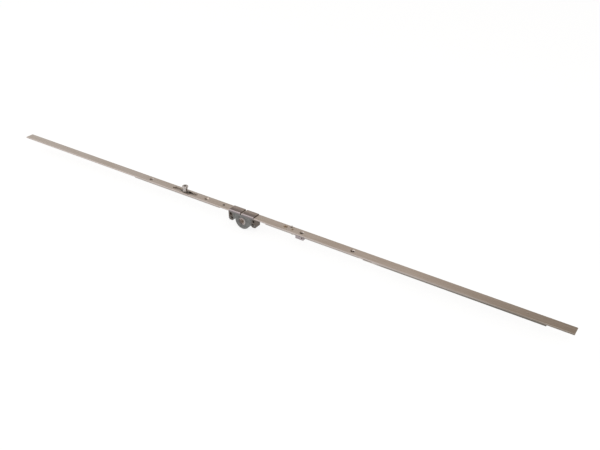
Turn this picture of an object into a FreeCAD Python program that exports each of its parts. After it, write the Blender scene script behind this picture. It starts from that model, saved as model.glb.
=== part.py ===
"""Window espagnolette: faceplate, gearbox, sliding rails, mushroom cam and safety catch.

The origin is the middle of the square spindle socket. X runs along the faceplate, -Y faces the
handle, and +Z points out of the sash, towards the frame. All sizes are millimetres.
"""
import FreeCAD, Part
import math
import os
import Sketcher

# Driving dimensions: name, value, what it measures
SIZES = [
    ("plate_length", 1090, "faceplate, end to end"),
    ("plate_width", 16, "faceplate width"),
    ("plate_thick", 2.5, "faceplate thickness"),
    ("backset", 15, "faceplate outer face to the spindle axis"),
    ("slide_gap", 0.1, "running gap between sliding faces"),
    ("side_gap", 0.3, "clearance beside moving pieces"),
    ("rail_thick", 2.5, "thickness of both rails"),
    ("rail_width", 12, "width of the rack rail"),
    ("rail_half", 245, "half length of the rack rail"),
    ("extension_width", 14.5, "width of the extension rail"),
    ("extension_inset", 37, "far end of the extension rail from the faceplate's end"),
    ("lap_length", 15, "length of the joint between the rails"),
    ("lap_rivet_radius", 1.5, "shank of a lap rivet"),
    ("lap_rivet_inset", 4, "lap rivet from the end of the joint"),
    ("pitch_depth", 1.041, "pitch line below the faceplate's back"),
    ("tip_gap", 0.2, "tooth tips to the faceplate's back"),
    ("root_gap", 0.5, "rail to the root of the teeth"),
    ("teeth", 16, "teeth of the follower"),
    ("tooth_width", 6, "face width of the teeth"),
    ("tooth_root", 1.9, "tooth thickness at the root"),
    ("tooth_pitch", 1.4, "tooth thickness on the pitch line"),
    ("tooth_tip", 0.9, "tooth thickness at the tip"),
    ("window_length", 3.0, "rack window along the rail"),
    ("mesh_reach", 8, "half length of rail that the teeth reach at once"),
    ("neck_wall", 0.8, "rail beside the rack windows"),
    ("neck_margin", 1.5, "narrow part of the rail beyond the case at full stroke"),
    ("socket", 7, "square spindle"),
    ("hub_radius", 6.6, "hub of the follower"),
    ("bearing_gap", 0.05, "radial running clearance of a bearing"),
    ("bush_wall", 0.95, "sleeve wall of the bearing bush"),
    ("bush_flange", 9, "flange radius of the bearing bush"),
    ("case_length", 57, "gear case along the faceplate"),
    ("case_depth", 12, "gear case, front to back"),
    ("case_side", 1.3, "side wall of the gear case"),
    ("case_rim", 1.8, "wall round the teeth"),
    ("case_gap", 0.3, "teeth to the wall round them"),
    ("shoulder", 0.7, "shoulder under a saddle's flange"),
    ("ear_bottom", 5, "ear bottom below the spindle axis"),
    ("ear_inner", 20.4, "inner end of the ear's bottom edge"),
    ("ear_slope_top", 3, "top of the ear's slope above the spindle axis"),
    ("ear_round", 3.6, "rounding of the ear's outer corner"),
    ("screw_spacing", 43, "handle screws, centre to centre"),
    ("screw_core", 2.1, "core radius of the M5 handle screw thread"),
    ("pocket_spacing", 47, "casting pockets, centre to centre"),
    ("pocket_length", 3.4, "casting pocket along the faceplate"),
    ("pocket_height", 4.4, "casting pocket height"),
    ("pocket_level", 7, "casting pocket above the spindle axis"),
    ("pocket_depth", 3.5, "casting pocket depth"),
    ("ring_outer", 10.2, "raised ring round the socket, outer radius"),
    ("ring_inner", 9.2, "raised ring round the socket, inner radius"),
    ("ring_height", 0.4, "height of the raised ring"),
    ("case_rivet_radius", 1.3, "shank of a case rivet"),
    ("case_rivet_head", 2, "head radius of a case rivet"),
    ("head_height", 0.6, "height of a rivet head"),
    ("upper_rivet_spacing", 34, "upper case rivets, centre to centre"),
    ("upper_rivet_level", 6, "upper case rivets above the spindle axis"),
    ("lower_rivet_spacing", 52, "lower case rivets, centre to centre"),
    ("lower_rivet_level", 0.6, "lower case rivets below the spindle axis"),
    ("saddle_length", 50.6, "both saddles with the gap between them"),
    ("saddle_split", 3.4, "gap between the saddles"),
    ("saddle_thick", 1.3, "saddle sheet thickness"),
    ("saddle_drop", 2.8, "saddle flange below the faceplate's outer face"),
    ("saddle_bend", 1, "outer bend radius of a saddle"),
    ("cam_x", -129, "cam carrier at mid stroke"),
    ("slot_width", 7, "cam slot width in the faceplate"),
    ("carrier_length", 19, "cam carrier along the rail"),
    ("carrier_rise", 0.9, "cam carrier above the faceplate"),
    ("carrier_rivet_spacing", 14, "carrier rivets, centre to centre"),
    ("carrier_rivet_radius", 1.1, "shank of a carrier rivet"),
    ("journal_radius", 2.4, "cam pin in its carrier"),
    ("foot_radius", 3.4, "riveted foot of the cam pin"),
    ("eccentricity", 0.8, "offset of the cam's neck from its journal"),
    ("collar_radius", 4.6, "collar under the roller"),
    ("collar_height", 0.9, "height of that collar"),
    ("neck_radius", 2.9, "neck inside the roller"),
    ("roller_wall", 1.3, "wall of the roller"),
    ("roller_length", 6.2, "length of the roller"),
    ("head_radius", 5.5, "mushroom head"),
    ("head_thick", 2.6, "thickness of the mushroom head"),
    ("head_bevel", 0.7, "bevel round the mushroom head"),
    ("hex_radius", 2.3, "hexagon socket, centre to corner"),
    ("hex_depth", 2.4, "depth of the hexagon socket"),
    ("screw_x", -80.5, "fixing screw hole left of the gearbox"),
    ("fixing_radius", 2.2, "fixing screw clearance hole"),
    ("fixing_head", 3.8, "countersink radius of the fixing screw"),
    ("gauge_x", -42.6, "setting hole for the middle position"),
    ("gauge_radius", 2.2, "radius of the setting hole"),
    ("guide_inset", 36.5, "guide eyelet from the end of the rack rail"),
    ("eyelet_bore", 2.1, "bore of an eyelet"),
    ("eyelet_wall", 0.5, "wall of an eyelet"),
    ("eyelet_flange", 4, "flange radius of an eyelet"),
    ("washer_radius", 4.6, "outer radius of a guide washer"),
    ("washer_thick", 0.8, "thickness of a guide washer"),
    ("end_guide_inset", 28, "guide rivet from the far end of the extension rail"),
    ("end_guide_radius", 2, "shank of that rivet"),
    ("block_x", 115.6, "support block and its eyelet"),
    ("block_length", 15, "support block along the faceplate"),
    ("block_height", 6, "support block height"),
    ("block_mark_offset", 4.8, "blind hole in the block's front, from its middle"),
    ("block_mark_radius", 1.4, "radius of that blind hole"),
    ("block_mark_depth", 0.8, "depth of that blind hole"),
    ("block_mark_drop", 1.9, "middle of that blind hole below the faceplate"),
    ("pivot_x", 97.9, "pivot of the safety lever"),
    ("pivot_y", -0.4, "pivot of the safety lever"),
    ("pivot_radius", 1.3, "shank of the lever rivet"),
    ("pivot_head", 2.4, "heads of the lever rivet"),
    ("pivot_bore", 0.9, "hollow upper end of the lever rivet"),
    ("pivot_bore_depth", 1.6, "depth of that hollow"),
    ("lever_hub", 2.7, "hub radius of the safety lever"),
    ("lever_thick", 2.1, "thickness of the safety lever"),
    ("lever_reach", 18.9, "lever nose left of its pivot"),
    ("nose_low", 1.2, "lower edge of the nose above the pivot"),
    ("nose_high", 5.9, "upper edge of the nose above the pivot"),
    ("nose_length", 7.3, "nose of the lever along the faceplate"),
    ("arm_width", 2.4, "width of the lever's tail"),
    ("lever_turn", 12, "degrees that the lever turns"),
    ("sensor_left", 5.1, "sensor pin left of the pivot"),
    ("sensor_up", 6.1, "sensor pin beyond the pivot, towards the rear edge"),
    ("sensor_radius", 1.1, "sensor pin"),
    ("sensor_boss", 2, "lever round the sensor pin"),
    ("sensor_rise", 2.4, "sensor pin above the faceplate"),
    ("window_left", 17.9, "faceplate window, left end from the pivot"),
    ("window_right", 10.9, "faceplate window, right end from the pivot"),
    ("window_low", 1.6, "faceplate window below the pivot"),
    ("window_high", 5, "faceplate window above the pivot"),
    ("dimple_left", 7.6, "dimple in the faceplate, from the pivot"),
    ("dimple_down", 3.9, "dimple in the faceplate, from the pivot"),
    ("dimple_radius", 0.9, "radius of the dimple"),
    ("dimple_depth", 0.6, "depth of the dimple"),
    ("rebate_web", 2.6, "rail left in front of the safety lever"),
    ("rebate_margin", 0.9, "rebate beyond the safety lever at full stroke"),
    ("wire_radius", 0.25, "spring wire"),
    ("coil_radius", 2.3, "mean radius of the spring"),
    ("coil_pitch", 0.95, "spring pitch"),
    ("coil_turns", 2, "turns of the spring"),
    ("short_leg", 6, "spring leg under the lever"),
    ("leg_seat", 2, "spring leg inside the support block"),
]


class Term:
    """An expression of the document that is put together with ordinary arithmetic."""

    def __init__(self, text):
        self.text = str(text)

    def joined(self, sign, other, swap=False):
        first, second = (other, self) if swap else (self, other)
        return Term(f"({first} {sign} {second})")

    def __str__(self):
        return self.text

    def __add__(self, other):
        return self.joined("+", other)

    def __radd__(self, other):
        return self.joined("+", other, swap=True)

    def __sub__(self, other):
        return self.joined("-", other)

    def __rsub__(self, other):
        return self.joined("-", other, swap=True)

    def __mul__(self, other):
        return self.joined("*", other)

    def __rmul__(self, other):
        return self.joined("*", other, swap=True)

    def __truediv__(self, other):
        return self.joined("/", other)

    def __neg__(self):
        return Term(f"(-1 * {self})")

    def __pos__(self):
        return self


class Cells:
    """Each attribute is the sheet's cell of that name, ready for an expression."""

    def __getattr__(self, alias):
        return Term(f"Sizes.{alias}")


doc = FreeCAD.newDocument("Espagnolette")
sheet = doc.addObject("Spreadsheet::Sheet", "Sizes")
for row, (alias, value, note) in enumerate(SIZES, start=1):
    sheet.set(f"A{row}", note)
    sheet.set(f"B{row}", str(value))
    sheet.setAlias(f"B{row}", alias)
doc.recompute()
c = Cells()

# Places worked out from the driving dimensions
TOP = c.backset
UNDER = c.backset - c.plate_thick
EDGE = c.plate_width / 2
RAIL_TOP = UNDER - c.slide_gap
RAIL_LOW = RAIL_TOP - c.rail_thick
RAIL_EDGE = c.rail_width / 2
PITCH_RADIUS = UNDER - c.pitch_depth
PITCH = PITCH_RADIUS * 2 * math.pi / c.teeth
STROKE = PITCH_RADIUS * math.pi / 2
TIP_RADIUS = UNDER - c.tip_gap
ROOT_RADIUS = RAIL_LOW - c.root_gap
NECK = c.tooth_width / 2 + c.slide_gap * 2 + c.neck_wall
CASE_END = c.case_length / 2
CASE_FACE = c.case_depth / 2
CAVITY = CASE_FACE - c.case_side
CAVITY_RADIUS = TIP_RADIUS + c.case_gap
CASE_RADIUS = CAVITY_RADIUS + c.case_rim
BUSH_OUTER = c.hub_radius + c.bearing_gap + c.bush_wall
SHOULDER_FACE = CASE_FACE + c.shoulder
FLANGE_LOW = TOP - c.saddle_drop
CARRIER_TOP = TOP + c.carrier_rise
EYELET_OUTER = c.eyelet_bore + c.eyelet_wall
SLOT_HALF = EYELET_OUTER + c.slide_gap * 2
GUIDE_X = c.rail_half - c.guide_inset
WASHER_TOP = RAIL_LOW - c.slide_gap
WASHER_LOW = WASHER_TOP - c.washer_thick
EXTENSION_START = c.rail_half - c.lap_length
EXTENSION_END = c.plate_length / 2 - c.extension_inset
END_GUIDE_X = EXTENSION_END - c.end_guide_inset
RAIL_MIDDLE = RAIL_TOP - c.rail_thick / 2
BLOCK_LOW = UNDER - c.block_height
BLOCK_CHANNEL = RAIL_LOW - c.slide_gap * 2
LEVER_TOP = UNDER - c.slide_gap * 2
LEVER_LOW = LEVER_TOP - c.lever_thick
SENSOR_X = c.pivot_x - c.sensor_left
SENSOR_Y = c.pivot_y + c.sensor_up
COIL_TOP = LEVER_LOW - c.slide_gap * 2 - c.wire_radius
COIL_LOW = COIL_TOP - c.coil_pitch * c.coil_turns
PIVOT_HEAD_TOP = COIL_LOW - c.wire_radius - c.slide_gap
ORIGIN_ROLES = {"XY": "XY_Plane", "XZ": "XZ_Plane", "YZ": "YZ_Plane"}
PARTS = []


def number(term):
    """Value of an expression, for the start geometry of a sketch."""
    value = sheet.evalExpression(str(term).replace("Sizes.", ""))
    return float(value)


def new_body(name):
    """Body of one sub-part."""
    body = doc.addObject("PartDesign::Body", name)
    body.Label = name
    return body


def keep(node):
    """Note a finished sub-part for the checks and the export."""
    PARTS.append(node)
    return node


def new_sketch(body, name, plane, offset=0):
    """Sketch on an origin plane of its own body, moved along the plane's normal."""
    sketch = body.newObject("Sketcher::SketchObject", name)
    role = ORIGIN_ROLES[plane]
    support = [feature for feature in body.Origin.OriginFeatures if feature.Role == role][0]
    sketch.AttachmentSupport = [(support, "")]
    sketch.MapMode = "FlatFace"
    sketch.setExpression("AttachmentOffset.Base.z", str(offset))
    return sketch


def bind(sketch, constraint, term):
    """Add a constraint and tie it to an expression."""
    index = sketch.addConstraint(constraint)
    sketch.setExpression(f"Constraints[{index}]", str(term))


def place_point(sketch, line, end, across, up):
    """Hold one end of a line or the middle of a circle by its two coordinates."""
    bind(sketch, Sketcher.Constraint("DistanceX", -1, 1, line, end, number(across)), across)
    bind(sketch, Sketcher.Constraint("DistanceY", -1, 1, line, end, number(up)), up)


def draw_polygon(sketch, corners):
    """Closed outline through corners that are pairs of expressions."""
    points = [FreeCAD.Vector(number(across), number(up), 0) for across, up in corners]
    first = sketch.GeometryCount
    count = len(points)
    for index, point in enumerate(points):
        sketch.addGeometry(Part.LineSegment(point, points[(index + 1) % count]), False)
    for index in range(count):
        following = first + (index + 1) % count
        sketch.addConstraint(Sketcher.Constraint("Coincident", first + index, 2, following, 1))
    for index, (across, up) in enumerate(corners):
        place_point(sketch, first + index, 1, across, up)


def draw_box(sketch, left, right, low, high):
    """Rectangle between four expressions."""
    draw_polygon(sketch, [(left, low), (right, low), (right, high), (left, high)])


def draw_circle(sketch, across, up, radius):
    """Circle with its middle and radius tied to expressions."""
    middle = FreeCAD.Vector(number(across), number(up), 0)
    circle = Part.Circle(middle, FreeCAD.Vector(0, 0, 1), number(radius))
    index = sketch.addGeometry(circle, False)
    place_point(sketch, index, 3, across, up)
    bind(sketch, Sketcher.Constraint("Radius", index, number(radius)), radius)


def draw_slot(sketch, start, end, radius):
    """Round-ended slot; start and end are the middles of its two ends."""
    ax, ay = number(start[0]), number(start[1])
    bx, by = number(end[0]), number(end[1])
    reach = number(radius)
    heading = math.atan2(by - ay, bx - ax)
    side = FreeCAD.Vector(-math.sin(heading), math.cos(heading), 0) * reach
    first, last = FreeCAD.Vector(ax, ay, 0), FreeCAD.Vector(bx, by, 0)
    normal = FreeCAD.Vector(0, 0, 1)
    quarter = math.pi / 2
    start_arc = Part.ArcOfCircle(Part.Circle(first, normal, reach), heading + quarter, heading + 3 * quarter)
    end_arc = Part.ArcOfCircle(Part.Circle(last, normal, reach), heading - quarter, heading + quarter)
    one = sketch.addGeometry(start_arc, False)
    two = sketch.addGeometry(Part.LineSegment(first - side, last - side), False)
    three = sketch.addGeometry(end_arc, False)
    four = sketch.addGeometry(Part.LineSegment(last + side, first + side), False)
    for arc, arc_end, line, line_end in ((one, 2, two, 1), (three, 1, two, 2), (three, 2, four, 1), (one, 1, four, 2)):
        sketch.addConstraint(Sketcher.Constraint("Tangent", arc, arc_end, line, line_end))
    place_point(sketch, one, 3, *start)
    place_point(sketch, three, 3, *end)
    bind(sketch, Sketcher.Constraint("Radius", one, reach), radius)


def pad(body, name, plane, offset, length, draw, reverse=False):
    """Add material: draw puts the outlines into a new sketch."""
    sketch = new_sketch(body, name + "_outline", plane, offset)
    draw(sketch)
    feature = body.newObject("PartDesign::Pad", name)
    feature.Profile = sketch
    feature.Reversed = reverse
    feature.setExpression("Length", str(length))
    sketch.Visibility = False
    body.Tip = feature
    doc.recompute()
    return feature


def pocket(body, name, plane, offset, length, draw, reverse=False):
    """Take material away, and make sure that something went."""
    before = body.Shape.Volume
    sketch = new_sketch(body, name + "_outline", plane, offset)
    draw(sketch)
    feature = body.newObject("PartDesign::Pocket", name)
    feature.Profile = sketch
    feature.Reversed = reverse
    feature.setExpression("Length", str(length))
    sketch.Visibility = False
    body.Tip = feature
    doc.recompute()
    if not body.Shape.Volume < before:
        raise RuntimeError(f"{name} cuts nothing")
    return feature


def turn(body, name, corners):
    """Turned form about the upright axis: corners are (radius, height)."""
    sketch = new_sketch(body, name + "_outline", "XZ")
    draw_polygon(sketch, corners)
    feature = body.newObject("PartDesign::Revolution", name)
    feature.Profile = sketch
    feature.ReferenceAxis = (sketch, ["V_Axis"])
    feature.Angle = 360
    sketch.Visibility = False
    body.Tip = feature
    doc.recompute()
    return feature


def move(body, x=0, y=0):
    """Put a body that was made about the upright axis at its place."""
    body.setExpression("Placement.Base.x", str(x))
    body.setExpression("Placement.Base.y", str(y))


def group(name, members):
    """One node of identical separate solids."""
    node = doc.addObject("Part::Compound", name)
    node.Label = name
    node.Links = members
    return keep(node)


def make_faceplate():
    """Punched strip with its slot, holes, window and the notches under the saddles."""
    body = new_body("faceplate")
    half = c.plate_length / 2
    pad(body, "strip", "XY", UNDER, c.plate_thick, lambda s: draw_box(s, -half, half, -EDGE, EDGE))
    notch = c.saddle_length / 2 + c.slide_gap
    notch_depth = SHOULDER_FACE - c.slide_gap

    def through_cuts(sketch):
        for side in (-1, 1):
            draw_box(sketch, -notch, notch, side * notch_depth, side * EDGE * 2)
        end = (c.carrier_length / 2 + STROKE) - c.slot_width / 2
        slot_radius = c.slot_width / 2
        draw_slot(sketch, (c.cam_x - end, 0), (c.cam_x + end, 0), slot_radius)
        draw_circle(sketch, c.gauge_x, 0, c.gauge_radius)
        draw_box(sketch, c.pivot_x - c.window_left, c.pivot_x - c.window_right,
                 c.pivot_y - c.window_low, c.pivot_y + c.window_high)
        draw_slot(sketch, (SENSOR_X, SENSOR_Y), sensor_pressed(), c.sensor_radius + c.side_gap)
        draw_circle(sketch, END_GUIDE_X, 0, c.end_guide_radius)

    pocket(body, "through_cuts", "XY", UNDER, c.plate_thick, through_cuts, reverse=True)
    pocket(body, "dimple", "XY", TOP - c.dimple_depth, c.dimple_depth * 2, lambda s: draw_circle(
        s, c.pivot_x - c.dimple_left, c.pivot_y - c.dimple_down, c.dimple_radius), reverse=True)
    sunk_holes = [
        ("fixing_hole", c.screw_x, 0, c.fixing_radius, c.fixing_head),
        ("left_guide_hole", -GUIDE_X, 0, EYELET_OUTER, c.eyelet_flange),
        ("right_guide_hole", GUIDE_X, 0, EYELET_OUTER, c.eyelet_flange),
        ("block_hole", c.block_x, 0, EYELET_OUTER, c.eyelet_flange),
        ("pivot_hole", c.pivot_x, c.pivot_y, c.pivot_radius, c.pivot_head),
    ]
    for name, x, y, radius, head in sunk_holes:
        sunk_hole(body, name, x, y, radius, head)
    keep(body)


def sunk_hole(body, name, x, y, radius, head):
    """Countersunk hole through the faceplate, made with the Hole feature."""
    before = body.Shape.Volume
    sketch = new_sketch(body, name + "_outline", "XY", TOP)
    draw_circle(sketch, x, y, radius)
    doc.recompute()
    hole = body.newObject("PartDesign::Hole", name)
    hole.Profile = sketch
    hole.DepthType = "ThroughAll"
    hole.HoleCutType = "Countersink"
    hole.HoleCutCustomValues = True
    hole.setExpression("Diameter", str(radius * 2))
    hole.setExpression("HoleCutDiameter", str(head * 2))
    hole.HoleCutCountersinkAngle = 90
    sketch.Visibility = False
    body.Tip = hole
    doc.recompute()
    if not body.Shape.Volume < before:
        raise RuntimeError(f"{name} cuts nothing")


def sensor_pressed():
    """Middle of the sensor pin with the lever turned in."""
    cosine = Term(f"cos({c.lever_turn} * 1 deg)")
    sine = Term(f"sin({c.lever_turn} * 1 deg)")
    x = c.pivot_x - c.sensor_left * cosine - c.sensor_up * sine
    y = c.pivot_y - c.sensor_left * sine + c.sensor_up * cosine
    return x, y


def make_shell(name, side):
    """Half of the gear case; side is -1 in front of the split and 1 behind it."""
    body = new_body(name)
    behind = side > 0
    inward = not behind
    face = side * CASE_FACE * -1

    def outline(sketch):
        draw_polygon(sketch, [
            (-CASE_END, UNDER), (-CASE_END, -c.ear_bottom), (-c.ear_inner, -c.ear_bottom),
            (-c.ear_inner + c.ear_bottom + c.ear_slope_top, c.ear_slope_top),
            (c.ear_inner - c.ear_bottom - c.ear_slope_top, c.ear_slope_top),
            (c.ear_inner, -c.ear_bottom), (CASE_END, -c.ear_bottom), (CASE_END, UNDER)])

    pad(body, "ears", "XZ", 0, CASE_FACE, outline, reverse=behind)
    pad(body, "bulge", "XZ", 0, CASE_FACE, lambda s: draw_circle(s, 0, 0, CASE_RADIUS), reverse=behind)
    corners = []
    for index, edge in enumerate(body.Shape.Edges, start=1):
        ends = [vertex.Point for vertex in edge.Vertexes]
        upright = len(ends) == 2 and abs(abs(ends[0].y - ends[1].y) - number(CASE_FACE)) < 1e-6
        low = upright and abs(ends[0].z + number(c.ear_bottom)) < 1e-6
        if low and abs(abs(ends[0].x) - number(CASE_END)) < 1e-6:
            corners.append(f"Edge{index}")
    bulge = body.Tip
    rounding = body.newObject("PartDesign::Fillet", "ear_corners")
    rounding.Base = (bulge, corners)
    rounding.setExpression("Radius", str(c.ear_round))
    body.Tip = rounding
    doc.recompute()
    pocket(body, "top_trim", "XZ", 0, c.case_depth, lambda s: draw_box(
        s, -CASE_END * 2, CASE_END * 2, UNDER, UNDER * 2), reverse=inward)
    shoulder_end = c.saddle_length / 2
    pad(body, "shoulder_band", "XZ", face, c.shoulder, lambda s: draw_box(
        s, -shoulder_end, shoulder_end, FLANGE_LOW - c.saddle_thick, UNDER), reverse=behind)
    pad(body, "ring", "XZ", face, c.ring_height, lambda s: (
        draw_circle(s, 0, 0, c.ring_outer), draw_circle(s, 0, 0, c.ring_inner)), reverse=behind)
    pocket(body, "gear_chamber", "XZ", 0, CAVITY,
           lambda s: draw_circle(s, 0, 0, CAVITY_RADIUS), reverse=inward)
    channel = NECK + c.side_gap
    pocket(body, "rail_channel", "XZ", 0, channel, lambda s: draw_box(
        s, -CASE_END * 2, CASE_END * 2, RAIL_LOW - c.side_gap, UNDER * 2), reverse=inward)
    rivet_places = case_rivet_places()

    def bores(sketch):
        draw_circle(sketch, 0, 0, BUSH_OUTER)
        for side_sign in (-1, 1):
            draw_circle(sketch, side_sign * c.screw_spacing / 2, 0, c.screw_core)
        for x, z in rivet_places:
            draw_circle(sketch, x, z, c.case_rivet_radius)

    pocket(body, "bores", "XZ", 0, c.case_depth, bores, reverse=inward)

    def pockets(sketch):
        for side_sign in (-1, 1):
            middle = side_sign * c.pocket_spacing / 2
            draw_box(sketch, middle - c.pocket_length / 2, middle + c.pocket_length / 2,
                     c.pocket_level - c.pocket_height / 2, c.pocket_level + c.pocket_height / 2)

    floor = (CASE_FACE + c.shoulder - c.pocket_depth) * (-1 * side)
    pocket(body, "casting_pockets", "XZ", floor, c.pocket_depth * 2, pockets, reverse=inward)
    return keep(body)


def case_rivet_places():
    """Middles of the four case rivets, as (x, z)."""
    upper = [(side * c.upper_rivet_spacing / 2, +c.upper_rivet_level) for side in (-1, 1)]
    lower = [(side * c.lower_rivet_spacing / 2, -c.lower_rivet_level) for side in (-1, 1)]
    return upper + lower


def make_case_rivets():
    """Rivets through both halves, with a head on each face."""
    rivets = []
    for index, (x, z) in enumerate(case_rivet_places(), start=1):
        body = new_body(f"gearbox_rivet_{index}")
        pad(body, "shank", "XZ", -CASE_FACE, c.case_depth,
            lambda s: draw_circle(s, x, z, c.case_rivet_radius))
        pad(body, "rear_head", "XZ", -CASE_FACE, c.head_height,
            lambda s: draw_circle(s, x, z, c.case_rivet_head), reverse=True)
        pad(body, "front_head", "XZ", CASE_FACE, c.head_height,
            lambda s: draw_circle(s, x, z, c.case_rivet_head))
        rivets.append(body)
    group("gearbox_rivets", rivets)


def make_pinion():
    """Toothed follower: hub, disc, teeth in a ring, and the square socket through it."""
    body = new_body("pinion")
    pad(body, "hub", "XZ", -CASE_FACE, c.case_depth, lambda s: draw_circle(s, 0, 0, c.hub_radius))
    half = c.tooth_width / 2
    pad(body, "disc", "XZ", -half, c.tooth_width, lambda s: draw_circle(s, 0, 0, ROOT_RADIUS))
    inside = ROOT_RADIUS - c.root_gap

    def tooth(sketch):
        draw_polygon(sketch, [
            (-c.tooth_root / 2, inside), (-c.tooth_pitch / 2, PITCH_RADIUS), (-c.tooth_tip / 2, TIP_RADIUS),
            (c.tooth_tip / 2, TIP_RADIUS), (c.tooth_pitch / 2, PITCH_RADIUS), (c.tooth_root / 2, inside)])

    first = pad(body, "tooth", "XZ", -half, c.tooth_width, tooth)
    ring = body.newObject("PartDesign::PolarPattern", "tooth_ring")
    ring.Originals = [first]
    ring.Axis = (first.Profile[0], ["N_Axis"])
    ring.Angle = 360
    ring.setExpression("Occurrences", str(c.teeth))
    body.Tip = ring
    doc.recompute()
    corner = c.socket / 2
    pocket(body, "socket", "XZ", CASE_FACE, c.case_depth,
           lambda s: draw_box(s, -corner, corner, -corner, corner))
    return keep(body)


def make_bush(name, side):
    """Flanged bearing ring between the follower and one half of the case."""
    body = new_body(name)
    behind = side > 0
    start = (c.tooth_width / 2 + c.slide_gap) * (-1 * side)
    bore = c.hub_radius + c.bearing_gap
    pad(body, "flange", "XZ", start, CAVITY - c.tooth_width / 2 - c.slide_gap, lambda s: (
        draw_circle(s, 0, 0, c.bush_flange), draw_circle(s, 0, 0, bore)), reverse=behind)
    pad(body, "sleeve", "XZ", CAVITY * (-1 * side), c.case_side, lambda s: (
        draw_circle(s, 0, 0, BUSH_OUTER), draw_circle(s, 0, 0, bore)), reverse=behind)
    return keep(body)


def make_saddle(name, side):
    """Folded cover over the faceplate, with a flange down each side of the case."""
    body = new_body(name)
    high = TOP + c.saddle_thick
    inner = EDGE - c.saddle_thick
    near = c.saddle_split / 2
    length = c.saddle_length / 2 - near

    def section(sketch):
        draw_polygon(sketch, [
            (-EDGE, FLANGE_LOW), (-inner, FLANGE_LOW), (-inner, TOP), (inner, TOP),
            (inner, FLANGE_LOW), (EDGE, FLANGE_LOW), (EDGE, high), (-EDGE, high)])

    sheet_metal = pad(body, "sheet_metal", "YZ", side * near, length, section, reverse=side < 0)
    bends = []
    for index, edge in enumerate(body.Shape.Edges, start=1):
        ends = [vertex.Point for vertex in edge.Vertexes]
        on_top = all(abs(point.z - number(high)) < 1e-6 for point in ends)
        if on_top and abs(ends[0].x - ends[-1].x) > number(length) / 2:
            bends.append(f"Edge{index}")
    rounding = body.newObject("PartDesign::Fillet", "bends")
    rounding.Base = (sheet_metal, bends)
    rounding.setExpression("Radius", str(c.saddle_bend))
    body.Tip = rounding
    doc.recompute()
    return keep(body)


def make_drive_rail():
    """Rack rail: windows, neck inside the case, slots, rebate and the upper half of the lap."""
    body = new_body("drive_rail")
    pad(body, "strip", "XY", RAIL_LOW, c.rail_thick,
        lambda s: draw_box(s, -c.rail_half, c.rail_half, -RAIL_EDGE, RAIL_EDGE))
    neck_end = CASE_END + STROKE + c.neck_margin
    travel_slot = STROKE + c.side_gap

    def side_cuts(sketch):
        for side in (-1, 1):
            draw_box(sketch, -neck_end, neck_end, side * NECK, side * RAIL_EDGE * 2)
        draw_slot(sketch, (-GUIDE_X - travel_slot, 0), (-GUIDE_X + travel_slot, 0), SLOT_HALF)
        draw_slot(sketch, (GUIDE_X - travel_slot, 0), (GUIDE_X + travel_slot, 0), SLOT_HALF)
        draw_slot(sketch, (c.screw_x - travel_slot, 0), (c.screw_x + travel_slot, 0), SLOT_HALF)
        draw_circle(sketch, c.gauge_x, 0, c.gauge_radius)
        draw_circle(sketch, c.cam_x, 0, c.journal_radius + c.bearing_gap)
        for side in (-1, 1):
            draw_circle(sketch, c.cam_x + side * c.carrier_rivet_spacing / 2, 0, c.carrier_rivet_radius)

    pocket(body, "cuts", "XY", RAIL_LOW, c.rail_thick, side_cuts, reverse=True)
    pocket(body, "block_slot", "XY", RAIL_LOW, c.rail_thick, lambda s: draw_slot(
        s, (c.block_x - travel_slot, 0), (c.block_x + travel_slot, 0), SLOT_HALF), reverse=True)
    rebate_left = c.pivot_x - c.lever_reach - STROKE - c.rebate_margin
    rebate_right = c.pivot_x + c.lever_hub + STROKE + c.rebate_margin
    pocket(body, "lever_rebate", "XY", RAIL_LOW, c.rail_thick, lambda s: draw_box(
        s, rebate_left, rebate_right, -RAIL_EDGE + c.rebate_web, RAIL_EDGE * 2), reverse=True)
    pocket(body, "lap", "XY", RAIL_LOW, c.rail_thick / 2, lambda s: draw_box(
        s, EXTENSION_START, c.rail_half * 2, -EDGE, EDGE), reverse=True)
    pocket(body, "lap_holes", "XY", RAIL_MIDDLE, c.rail_thick / 2, draw_lap_holes, reverse=True)
    windows = Term(f"(2 * ceil(({STROKE} + {c.mesh_reach}) / {PITCH}) + 1)")
    rack_start = -PITCH * (windows - 1) / 2
    half_window = c.tooth_width / 2 + c.slide_gap * 2
    first = pocket(body, "rack_window", "XY", RAIL_LOW, c.rail_thick, lambda s: draw_box(
        s, rack_start - c.window_length / 2, rack_start + c.window_length / 2, -half_window, half_window),
        reverse=True)
    rack = body.newObject("PartDesign::LinearPattern", "rack")
    rack.Originals = [first]
    rack.Direction = (first.Profile[0], ["H_Axis"])
    rack.setExpression("Length", str(PITCH * (windows - 1)))
    rack.setExpression("Occurrences", str(windows))
    body.Tip = rack
    doc.recompute()
    return keep(body)


def lap_rivet_places():
    """Middles of the two lap rivets along the rails."""
    return [EXTENSION_START + c.lap_rivet_inset, c.rail_half - c.lap_rivet_inset]


def draw_lap_holes(sketch):
    """Holes of the two lap rivets."""
    for x in lap_rivet_places():
        draw_circle(sketch, x, 0, c.lap_rivet_radius)


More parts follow.
